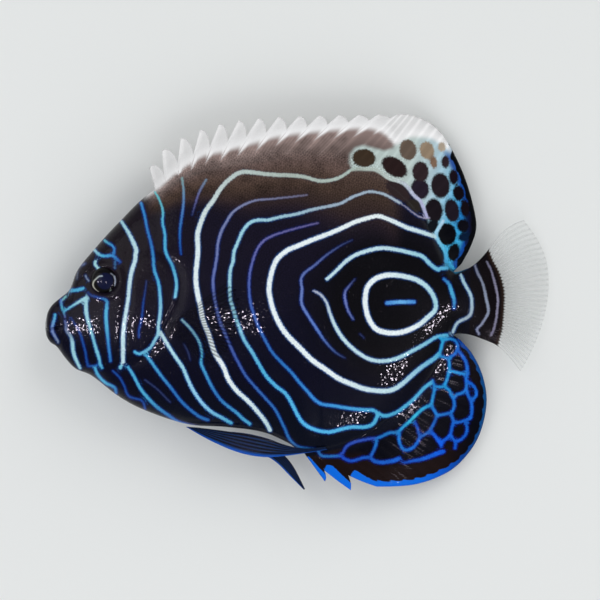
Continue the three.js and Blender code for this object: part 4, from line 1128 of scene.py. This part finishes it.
# Ground with its scales, the dark cells in the net, then the lines and their glow
ground = add("Attribute", output="Color", attribute_name="ground")
FINE_RIBS = 5
rib_turn = add("Math", [ray, 2 * math.pi * FINE_RIBS], operation="MULTIPLY")
ribbed = add("Math", [rib_turn], operation="COSINE")
ribs = add("Attribute", output="Fac", attribute_name="ribs")
scale_shade = add("Math", [scales, 0.16], operation="MULTIPLY")
shade = add("Math", [scale_shade, on_body, 0.97], operation="MULTIPLY_ADD")
patchy = add("TexNoise", {"Vector": place, "Scale": 1000 * PATCHES, "Detail": 3.0}, "Fac")
patches = add("Math", [patchy, 1.6, -0.75], operation="MULTIPLY_ADD")
streaky = add("Math", [ribbed, 0.11, patches], operation="MULTIPLY_ADD")
scaled = add("Math", [streaky, ribs, shade], operation="MULTIPLY_ADD")
ground = add("VectorMath", {0: ground, "Scale": scaled}, operation="SCALE")
cell_edge = add("Math", [add("Attribute", output="Fac", attribute_name="cell"), ragged], operation="ADD")
in_cell = add("MapRange", [cell_edge, 0.26, -0.2], interpolation_type="SMOOTHSTEP")
cell_tone = add("Attribute", output="Color", attribute_name="cell_tone")
web = add("Mix", {0: in_cell, 6: ground, 7: cell_tone}, 2, data_type="RGBA")
halo = add("Attribute", output="Fac", attribute_name="halo")
glow_share = add("Math", [glow, halo], operation="MULTIPLY")
web = add("Mix", {0: glow_share, 6: web, 7: deep}, 2, data_type="RGBA")
colour = add("Mix", {0: on_line, 6: web, 7: bright}, 2, data_type="RGBA")

# %% Streaks, margins and the clear tail
# Each ray or spine shows as a slightly paler streak in the web, and the margin has a rough edge
swing = add("Math", [add("Math", [ray, math.pi], operation="MULTIPLY")], operation="COSINE")
crest = add("Math", [add("Math", [swing], operation="ABSOLUTE"), 5.0], operation="POWER")
crest_on_fin = add("Math", [crest, on_fin], operation="MULTIPLY")
fin_shade = add("Math", [on_fin, -0.03, 1.0], operation="MULTIPLY_ADD")
streak = add("Math", [crest_on_fin, 0.16, fin_shade], operation="MULTIPLY_ADD")
colour = add("VectorMath", {0: colour, "Scale": streak}, operation="SCALE")
rough_edge = add("Math", [grain, crest], operation="SUBTRACT")
band = add("Attribute", output="Fac", attribute_name="band")
band_edge = add("Math", [rough_edge, 0.3, band], operation="MULTIPLY_ADD")
in_band = add("MapRange", [band_edge, 0.12, -0.12], interpolation_type="SMOOTHSTEP")
band_tone = add("Attribute", output="Color", attribute_name="band_tone")
colour = add("Mix", {0: in_band, 6: colour, 7: band_tone}, 2, data_type="RGBA")

# The tail fin is clear behind its dark root, and its rays are the less clear part of it
rear = add("Attribute", output="Fac", attribute_name="rear")
rear_edge = add("Math", [rough_edge, 0.25, rear], operation="MULTIPLY_ADD")
unpigmented = add("MapRange", [rear_edge, -0.15, 0.35], interpolation_type="SMOOTHSTEP")
colour = add("Mix", {0: unpigmented, 6: colour, 7: rgb("c9cccb")}, 2, data_type="RGBA")
see_through = add("Math", [unpigmented, 0.94], operation="MULTIPLY")
clear = add("Attribute", output="Fac", attribute_name="clear")
thin = add("Math", [clear, see_through], operation="MAXIMUM")
between_rays = add("Math", [crest, -0.26, 1.0], operation="MULTIPLY_ADD")
opacity = add("Math", [1.0, add("Math", [thin, between_rays], operation="MULTIPLY")], operation="SUBTRACT")

# %% Relief of the rays, the plates and the scales
# Soft rays are jointed about every half millimetre. All relief here is in millimetres.
RAY_JOINT = 0.5
joint_turn = add("Math", [out, 2 * math.pi / RAY_JOINT], operation="MULTIPLY")
joints = add("Math", [joint_turn], operation="COSINE")
jointed = add("Math", [joints, 0.004], operation="MULTIPLY")
ray_height = add("Math", [crest, 0.02, jointed], operation="MULTIPLY_ADD")
ray_relief = add("Math", [ray_height, on_fin], operation="MULTIPLY")
# Each small plate of the skin lies at its own tilt, so that a lamp shows in single plates
away = add("VectorMath", [place, plate.outputs["Position"]], operation="SUBTRACT")
tilt = add("VectorMath", [plate.outputs["Color"], (0.5, 0.5, 0.5)], operation="SUBTRACT")
plate_rise = add("VectorMath", [away, tilt], "Value", operation="DOT_PRODUCT")
plate_height = add("Math", [plate_rise, 1000 * 2 * PLATE_TILT], operation="MULTIPLY")
film_relief = add("Math", [plate_height, on_body, ray_relief], operation="MULTIPLY_ADD")
film = add("Bump", {"Height": film_relief, "Strength": 1.0, "Distance": 0.001})
scale_rise = add("Math", [scales, 0.0035], operation="MULTIPLY")
skin_relief = add("Math", [scale_rise, on_body, ray_relief], operation="MULTIPLY_ADD")
rough_skin = add("Bump", {"Height": skin_relief, "Strength": 1.0, "Distance": 0.001})

# The film lies on the body, and the fins have only a little of it
links = skin_finish.node_tree.links
links.new(colour, surface.inputs["Base Color"])
links.new(opacity, surface.inputs["Alpha"])
links.new(rough_skin, surface.inputs["Normal"])
links.new(film, surface.inputs["Coat Normal"])
links.new(add("Math", [on_fin, -0.85, 1.0], operation="MULTIPLY_ADD"), surface.inputs["Coat Weight"])
skin.data.materials.append(skin_finish)
print(len(skin_finish.node_tree.nodes), "nodes in the skin's finish")

# %% Web of a paired fin
PAIRED_RAY_JOINT = 0.55


def fin_material(name, web_hex, ray_hex, edge_hex, web_alpha, ray_alpha, rays_shown):
    """Fin web with rays: "fin" keeps the ray, how far out, and how near the leading edge."""
    made, add, surface = new_material(
        name, Roughness=0.4, Specular_IOR_Level=0.04, Coat_Weight=0.15, Coat_Roughness=0.06, Coat_IOR=1.19
    )
    fin = add("Attribute", output="Vector", attribute_name="fin")
    ray, out, lead = add("SeparateXYZ", [fin]).node.outputs
    swing = add("Math", [add("Math", [ray, math.pi * rays_shown], operation="MULTIPLY")], operation="COSINE")
    crest = add("Math", [add("Math", [swing], operation="ABSOLUTE"), 4.0], operation="POWER")
    colour = add("Mix", {0: crest, 6: rgb(web_hex), 7: rgb(ray_hex)}, 2, data_type="RGBA")
    colour = add("Mix", {0: lead, 6: colour, 7: rgb(edge_hex)}, 2, data_type="RGBA")
    ray_share = add("Math", [crest, ray_alpha - web_alpha, web_alpha], operation="MULTIPLY_ADD")
    solid = add("Math", [ray_share, lead], operation="MAXIMUM")
    joint_turn = add("Math", [out, 2 * math.pi / PAIRED_RAY_JOINT], operation="MULTIPLY")
    joints = add("Math", [joint_turn], operation="COSINE")
    height = add("Math", [joints, 0.2, crest], operation="MULTIPLY_ADD")
    bump = add("Bump", {"Height": height, "Strength": 0.6, "Distance": 0.00004})
    links = made.node_tree.links
    links.new(colour, surface.inputs["Base Color"])
    links.new(solid, surface.inputs["Alpha"])
    links.new(bump, surface.inputs["Normal"])
    return made


# %% [markdown]
# ## Paired fins
# The real breast and belly fins are thin fans and blades that move on their own roots. Grown out
# of the skin they would need tight folds, so each is a piece: two grids, upper and lower face,
# merged round the edge. The left breast fin is clear and hugs the flank, the right one is pressed
# flat under the fish, and the belly fins are folded back.

# %% A thin fin of two faces

def vane(name, columns, rows, place, finish, slot_name):
    """A thin fin of two faces. place(i, j) gives plan x and y, middle height, half and fin, and the rim is
    where the grid ends.
    """
    bm = bmesh.new()
    key = bm.verts.layers.int.new("key")
    fin_of = []
    for side in (1, -1):
        made = bmesh.ops.create_grid(bm, x_segments=columns, y_segments=rows, size=1)["verts"]
        at = np.array([v.co.xy for v in made])
        i, j = np.rint((at[:, 0] + 1) / 2 * columns), np.rint((at[:, 1] + 1) / 2 * rows)
        px, py, mid, half, fin = place(i, j)
        rim = (i == 0) | (j == 0) | (i == columns) | (j == rows)
        z = mid + side * np.where(rim, 0, half)
        for n, (v, p) in enumerate(zip(made, to_frame(px, py, np.maximum(z, 0.01)))):
            v.co = p
            v[key] = n + len(made) * len(fin_of)
        fin_of.append(fin)
    bmesh.ops.remove_doubles(bm, verts=bm.verts, dist=1.5e-6)
    bmesh.ops.recalc_face_normals(bm, faces=bm.faces)
    made = new_object(name, bm, [name])
    made.data.materials.append(finish)
    number = np.empty(len(made.data.vertices), dtype=np.int32)
    made.data.attributes["key"].data.foreach_get("value", number)
    store(made.data, "fin", "FLOAT_VECTOR", np.concatenate(fin_of)[number])
    made.data.attributes.remove(made.data.attributes["key"])
    return made


# %% Breast fins
PECTORAL = {"hub": (166, 327), "low": -42, "high": 35, "rays": 11}
PECTORAL_REACH = lookup([(-42, 50), (-37, 57), (-20, 67), (0, 74), (20, 79), (30, 80), (35, 74)])
PER_FAN_RAY = 8
FAN_ROWS = 28


def flank_top(px, py):
    """Height of the upper flank."""
    return middle_plane(px, py) + half_at(px, py, np.zeros(px.shape, bool))


def pectoral(side):
    """A breast fin: a fan round its hub."""
    columns = PECTORAL["rays"] * PER_FAN_RAY

    def place(i, j):
        turn = PECTORAL["low"] + (PECTORAL["high"] - PECTORAL["low"]) * i / columns
        ray, v = i / PER_FAN_RAY, j / FAN_ROWS
        off = abs(ray - np.rint(ray))
        start = 6.0 if side > 0 else 13.0
        r = start + (PECTORAL_REACH(turn) * (1 - 0.03 * off * 2) - start) * v
        px = PECTORAL["hub"][0] + r * np.cos(np.radians(turn))
        py = PECTORAL["hub"][1] - r * np.sin(np.radians(turn))
        half = 0.05 + 0.06 * comb(off * PER_FAN_RAY, 1.2) * (1 - 0.6 * v)
        wave = 0.10 * np.sin(i / columns * 3 * math.pi + 0.8) * v
        mid = flank_top(px, py) + 0.22 + 0.5 * v**2 + wave if side > 0 else np.full(px.shape, 0.2)
        lead = 0.25 * np.maximum(fade(i, columns - 3, columns), fade(i, 2, 0)) * (0.4 + 0.6 * (1 - v))
        fin = np.stack([ray, v * 16, lead], -1)
        return px, py, mid, half, fin

    return columns, FAN_ROWS, place


# %% Finish of the breast fins
# Clear, wet fin web: rays that are hardly seen
clear_web = fin_material("Clear fin web", "10121a", "08060c", "303844", 0.004, 0.34, 2)
vane("pectoral_fin_left", *pectoral(1), clear_web, "clear_fin")
vane("pectoral_fin_right", *pectoral(-1), clear_web, "clear_fin")

# %% Belly fins
PELVIC = {
    "left": {
        "lead": [(186, 426.5), (210, 440), (237, 451.5), (262, 456.5), (285, 455.5), (306, 452.5),
            (327, 449)],
        "trail": [(199, 428), (222, 430.5), (246, 433), (266, 437.5), (284, 444), (303, 448),
            (326, 446.5)],
        "side": 1, "height": 1.15, "spread": 0.6,
    },
    "right": {
        "lead": [(186, 427), (212, 440), (240, 450.5), (262, 455.5), (276, 463), (290, 477),
            (304, 491)],
        "trail": [(199, 428), (222, 431), (244, 434.5), (263, 440.5), (283, 455), (294, 468.5),
            (305, 490)],
        "side": -1, "height": 1.2, "spread": 1.6,
    },
}


def pelvic(shape):
    """A belly fin: a folded blade between two curves."""
    columns, rows = 72, 30
    lead, trail = curve(shape["lead"], columns), curve(shape["trail"], columns)

    def place(i, j):
        along, across = i / columns, j / rows
        plan = lead[i.astype(int)] + (trail[i.astype(int)] - lead[i.astype(int)]) * across[:, None]
        px, py = plan.T
        ray = across * 6
        off = abs(ray - np.rint(ray)) * rows / 6
        half = 0.08 + (0.10 + 0.16 * (j < 4)) * comb(off, 1.1) * (1 - 0.7 * along)
        body = half_at(px, np.minimum(py, belly_edge(px)), np.zeros(px.shape, bool))
        over = np.clip((belly_edge(px) + 3 - py) / 3, 0, 1)
        free = shape["height"] + shape["spread"] * along
        clear_of_body = body + 0.3
        height = np.maximum(free, free + (clear_of_body - free) * over)
        fin = np.stack([ray, along * 26, fade(across, 0.17, 0.08)], -1)
        return px, py, LEVEL + shape["side"] * height, half, fin

    return columns, rows, place


# %% Finish of the belly fins
# Dark fin web with blue rays and a bright blue leading edge
dark_web = fin_material("Dark blue fin web", "0f0b10", "143260", "0f52b4", 0.97, 1.0, 1)
vane("pelvic_fin_left", *pelvic(PELVIC["left"]), dark_web, "blue_fin")
vane("pelvic_fin_right", *pelvic(PELVIC["right"]), dark_web, "blue_fin")

# %% [markdown]
# ## Eyes
# A real eye is a ball whose clear front stands out of the orbit, over a blue-black lens and a
# black iris with pieces of an ivory ring. A clear shell over a modelled iris would need light
# through glass, which adds noise. Here one flattened ball has a clear coat, and the ring is made of
# lines of the same kind as the skin's.

# %% Ring of the iris
EYE_LINES = [
    ([0.9, 0.8, 0.9, 1.0], [SILVER, IVORY, IVORY],
     "102,276 99,276.5 96.5,278.5 94,281 93,284 93.5,287 95.5,290 98,292"),
    ([1.1], ["b8c0d4"], "114.5,276.5 115.3,279.5 115.5,282.5 115,285.5"),
    ([0.9], ["98a8a0"], "110.8,290 109.8,292.5"),
    ([0.7], ["8a90a0"], "111,273.5 113,275"),
]
print(len(EYE_LINES), "pieces of the ring")

# %% Wet cornea and iris
# Wet cornea over a blue-black lens and a black iris with a broken ivory ring
eye_finish, add, surface = new_material(
    "Wet cornea and iris",
    Roughness=0.4, Specular_IOR_Level=0.04, Coat_Weight=0.7, Coat_Roughness=0.02, Coat_IOR=1.2,
)
radius = add("Attribute", output="Fac", attribute_name="radius")
on_iris = add("MapRange", [radius, 1.65, 1.95], interpolation_type="SMOOTHSTEP")
colour = add("Mix", {0: on_iris, 6: rgb("0b1030"), 7: rgb("070507")}, 2, data_type="RGBA")
IRIS_SPECKS = 5.0
speck = add("TexNoise", {"Vector": add("TexCoord", output="Object"), "Scale": 1000 * IRIS_SPECKS}, "Fac")
on_line, _ = line_shares(add, add("Math", [speck, 0.16, -0.08], operation="MULTIPLY_ADD"))
tone = add("Attribute", output="Color", attribute_name="tone")
colour = add("Mix", {0: on_line, 6: colour, 7: tone}, 2, data_type="RGBA")
eye_finish.node_tree.links.new(colour, surface.inputs["Base Color"])

# %% Eyeballs
for name in ("eye_left", "eye_right"):
    corner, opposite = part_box(name)
    height = (corner[2] + opposite[2]) / 2
    middle = to_frame(*np.array(EYE["at"]), height * 1000)
    bm = bmesh.new()
    bmesh.ops.create_uvsphere(bm, u_segments=96, v_segments=60, radius=EYE["radius"] / 1000)
    depth = (opposite[2] - corner[2]) / 2
    ball = np.array([v.co for v in bm.verts])
    placed = middle + ball * (1, 1, depth * 1000 / EYE["radius"])
    for v, point in zip(bm.verts, placed):
        v.co = point
    eye = new_object(name, bm, [name])
    eye.data.materials.append(eye_finish)
    _, offset, width, tone = paint(EYE_LINES, *as_seen(*to_plan(placed)))
    store_lines(eye.data, offset, width, tone, 0.3)
    store(eye.data, "radius", "FLOAT", np.hypot(ball[:, 0], ball[:, 1]) * 1000)

# %% [markdown]
# ## Floor, light and camera
# The fish lies on a pale matt board, under three large soft lamps and a pale sky. Small lamps that
# only the film of water reflects give the wet points of light. The camera looks straight down from
# half a metre, as the markings expect. A curved backdrop would hide the horizon of a side view,
# but the board is wide enough to do that too.

# %% Floor
# Matt white board, which takes soft shadows without a shine
floor_bm = bmesh.new()
bmesh.ops.create_grid(floor_bm, x_segments=1, y_segments=1, size=1.5)
floor_mesh = bpy.data.meshes.new("floor")
floor_bm.to_mesh(floor_mesh)
floor_bm.free()
floor = bpy.data.objects.new("floor", floor_mesh)
bpy.context.collection.objects.link(floor)
floor_finish, _, _ = new_material("Pale matt board", Base_Color=rgb("e8e9e7"), Roughness=0.6)
floor_mesh.materials.append(floor_finish)
print("floor of 3 by 3 m")

# %% Sky
world = bpy.data.worlds.new("Studio")
bpy.context.scene.world = world
world.use_nodes = True
sky = world.node_tree.nodes["Background"]
sky.inputs["Color"].default_value = (0.92, 0.97, 1, 1)
sky.inputs["Strength"].default_value = 0.4
print("sky of strength", round(sky.inputs["Strength"].default_value, 2))

# %% Soft lamps and points of light
centre = to_frame(np.array(300.0), np.array(300.0), np.array(float(MID_HEIGHT)))


def lamp(name, at, size, power, colour=(1, 1, 1), seen_in_film=True, lights_colours=True):
    """A round soft lamp that faces the fish, from a place in metres from its middle."""
    data = bpy.data.lights.new(name, "AREA")
    data.shape = "DISK"
    data.size = size
    data.energy = power
    data.color = colour
    made = bpy.data.objects.new(name, data)
    made.location = centre + np.array(at)
    made.rotation_euler = Vector(-np.array(at)).to_track_quat("-Z", "Y").to_euler()
    made.visible_glossy = seen_in_film
    made.visible_diffuse = lights_colours
    bpy.context.collection.objects.link(made)


lamp("soft_left", (-1.0, 0.45, 0.85), 1.3, 5.8)
lamp("soft_right", (0.8, 0.85, 0.8), 1.3, 7.8, seen_in_film=False)
lamp("soft_front", (0.15, -1.05, 0.8), 1.3, 7.8, seen_in_film=False)
# Where each small lamp stands, in metres from the middle of the fish, and its width
GLINTS = {
    "cheek": (-0.565, -0.04, 0.545, 0.055),
    "breast": (-0.364, -0.038, 0.678, 0.05),
    "flank": (-0.051, -0.073, 0.755, 0.035),
    "belly": (0.277, -0.526, 0.495, 0.04),
    "low": (0.403, -0.305, 0.581, 0.045),
    "stalk": (0.556, -0.12, 0.526, 0.055),
}
GLINT_POWER = 500
for name, (*at, size) in GLINTS.items():
    lamp("glint_" + name, at, size, GLINT_POWER * size**2, (0.96, 0.86, 1), lights_colours=False)
print(len(GLINTS), "points of light")

# %% Camera
camera_data = bpy.data.cameras.new("camera")
camera_data.sensor_width = 36
camera_data.lens = camera_data.sensor_width * CAMERA_HEIGHT / (600 * PX)
camera = bpy.data.objects.new("camera", camera_data)
camera.location = centre + np.array((0, 0, CAMERA_HEIGHT / 1000))
bpy.context.collection.objects.link(camera)
bpy.context.scene.camera = camera
bpy.context.scene.view_settings.view_transform = "Standard"
print("lens of", round(camera_data.lens, 1), "mm")
